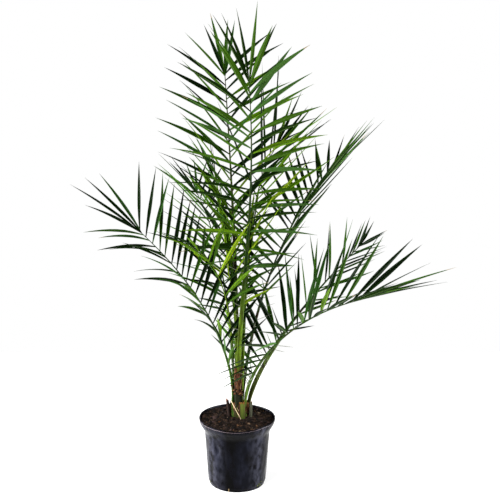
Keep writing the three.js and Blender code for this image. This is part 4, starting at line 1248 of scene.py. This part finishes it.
KNOT_LUMPS = 40
turn = np.radians(np.linspace(-88, 80, KNOT_LUMPS) + rng.normal(0, 9, KNOT_LUMPS))
level = FROND_FOOT + 42 - 6 * turn + rng.normal(0, 5.0, KNOT_LUMPS)
reach = rng.uniform(12.5, 15.5, KNOT_LUMPS)
knot_place = np.stack([1.5 + 1.15 * reach * np.sin(turn), -9.5 - reach * np.cos(turn), level], axis=-1)
knot_size = rng.uniform(1.6, 3.8, (KNOT_LUMPS, 1))
knot_size = knot_size * rng.uniform((1.0, 0.7, 0.5), (1.7, 1.1, 1.0), (KNOT_LUMPS, 3))
knot = blobs(knot_place, knot_size, random_axes(rng, KNOT_LUMPS, 0.9), rng, rings=9, sides=12, lumpy=0.16)
knot_dark = fibrous("knot_dark", [(0.35, (0.008, 0.004, 0.003)), (0.60, (0.045, 0.018, 0.008)),
                                  (0.80, (0.13, 0.055, 0.016))], 150, (1, 1, 0.5), 0.0010)
knot_tan = fibrous("knot_tan", [(0.35, (0.030, 0.012, 0.007)), (0.55, (0.13, 0.060, 0.020)),
                                (0.75, (0.32, 0.19, 0.10))], 200, (1, 1, 0.4), 0.0008)
make_piece("torn_knot", knot, [knot_dark, knot_tan], crease=40,
           tint=(rng.uniform(0, 1, KNOT_LUMPS) < 0.20).astype(int))

# %% [markdown]
# ## Cut stalks
#
# Three stalks were cut off near the soil. Each stub is a short tube that leans out, with a
# ragged top in another finish, because a cut end dries to fibre. The front one has dark sides,
# and a straw-coloured dry strip slants across the front of the stem.

# %% Stubs
STUB_SIDES = 28


def stub_rings(node, lean_degrees, heading_degrees, taper, ragged, seed, sides=STUB_SIDES, rings=22):
    """Rings up a stub inside its CAD box: an ellipse that leans out and narrows, with a top
    whose height is uneven from column to column."""
    low, high = cad_box(node)
    rng = np.random.default_rng(seed)
    heading = np.radians(heading_degrees)
    out = np.array([np.cos(heading), np.sin(heading), 0])
    across = np.array([-out[1], out[0], 0])
    shift = (high[2] - low[2]) * np.tan(np.radians(lean_degrees))
    reach_out = ((high - low)[:2] @ np.abs(out[:2]) - shift) / 2
    reach_across = (high - low)[:2] @ np.abs(across[:2]) / 2
    middle = np.append((low + high)[:2] / 2, low[2]) - out * shift / 2
    v = np.linspace(0, 1, rings)[:, None]
    angle = 2 * np.pi * np.arange(sides)[None] / sides
    width = (1 - taper * v**2) * (1 + 0.07 * ripples(3 * angle, 4 * v, seed)) * 0.93
    tops = 1 - ragged * rng.uniform(0, 1, (1, sides)) * v**6
    place = middle + v[..., None] * np.array([0, 0, high[2] - low[2]]) * tops[..., None]
    place = place + v[..., None] * out * shift
    return (place + (reach_out * width * np.cos(angle))[..., None] * out
            + (reach_across * width * np.sin(angle))[..., None] * across)[None]


grey_bark = fibrous("grey_bark", [(0.3, (0.012, 0.011, 0.008)), (0.55, (0.045, 0.048, 0.030)),
                                  (0.8, (0.20, 0.19, 0.15))], 80, (1, 1, 0.1), 0.0006)
pink_cut = fibrous(
    "pink_cut", [(0.3, (0.20, 0.07, 0.05)), (0.6, (0.50, 0.26, 0.20))], 160, (1, 1, 0.4), 0.0006)
facing_aside = np.abs(np.sin(2 * np.pi * np.arange(STUB_SIDES) / STUB_SIDES)) > 0.72
make_piece("stub_front", stub_rings("stump_front", 2, 275, 0.18, 0.26, 71),
           [cut_stalk, knot_dark, torn_end], ("stump_front",),
           column_tint=facing_aside.astype(int), cap_tint=2, crease=50)
red_bark = fibrous("red_bark", [(0.40, (0.006, 0.004, 0.003)), (0.60, (0.034, 0.014, 0.010)),
                                (0.82, (0.22, 0.12, 0.09))], 90, (1, 1, 0.14), 0.0008)
for side, lean, heading, taper, ragged, seed, skin, end in (
    ("left", 7, 205, 0.30, 0.22, 72, red_bark, pink_cut),
    ("right", 4, 315, 0.35, 0.12, 73, grey_bark, torn_end),
):
    stub = stub_rings(f"stump_{side}", lean, heading, taper, ragged, seed)
    make_piece(f"stub_{side}", stub, [skin, end], (f"stump_{side}",), cap_tint=1, crease=50)

# %% A dry strip
strip_path = np.array([
    [-19, -27, 279], [-14, -32, 271], [-8, -35, 259], [0, -37.5, 245], [7, -39, 232], [13, -40, 220]], float)
strip = fibres_along(strip_path[None], np.array([2.0]), sides=8, flat=0.35)
make_piece("dry_strip", strip, [finish("dry_strip", STRAW, 0.75, 0.25)])
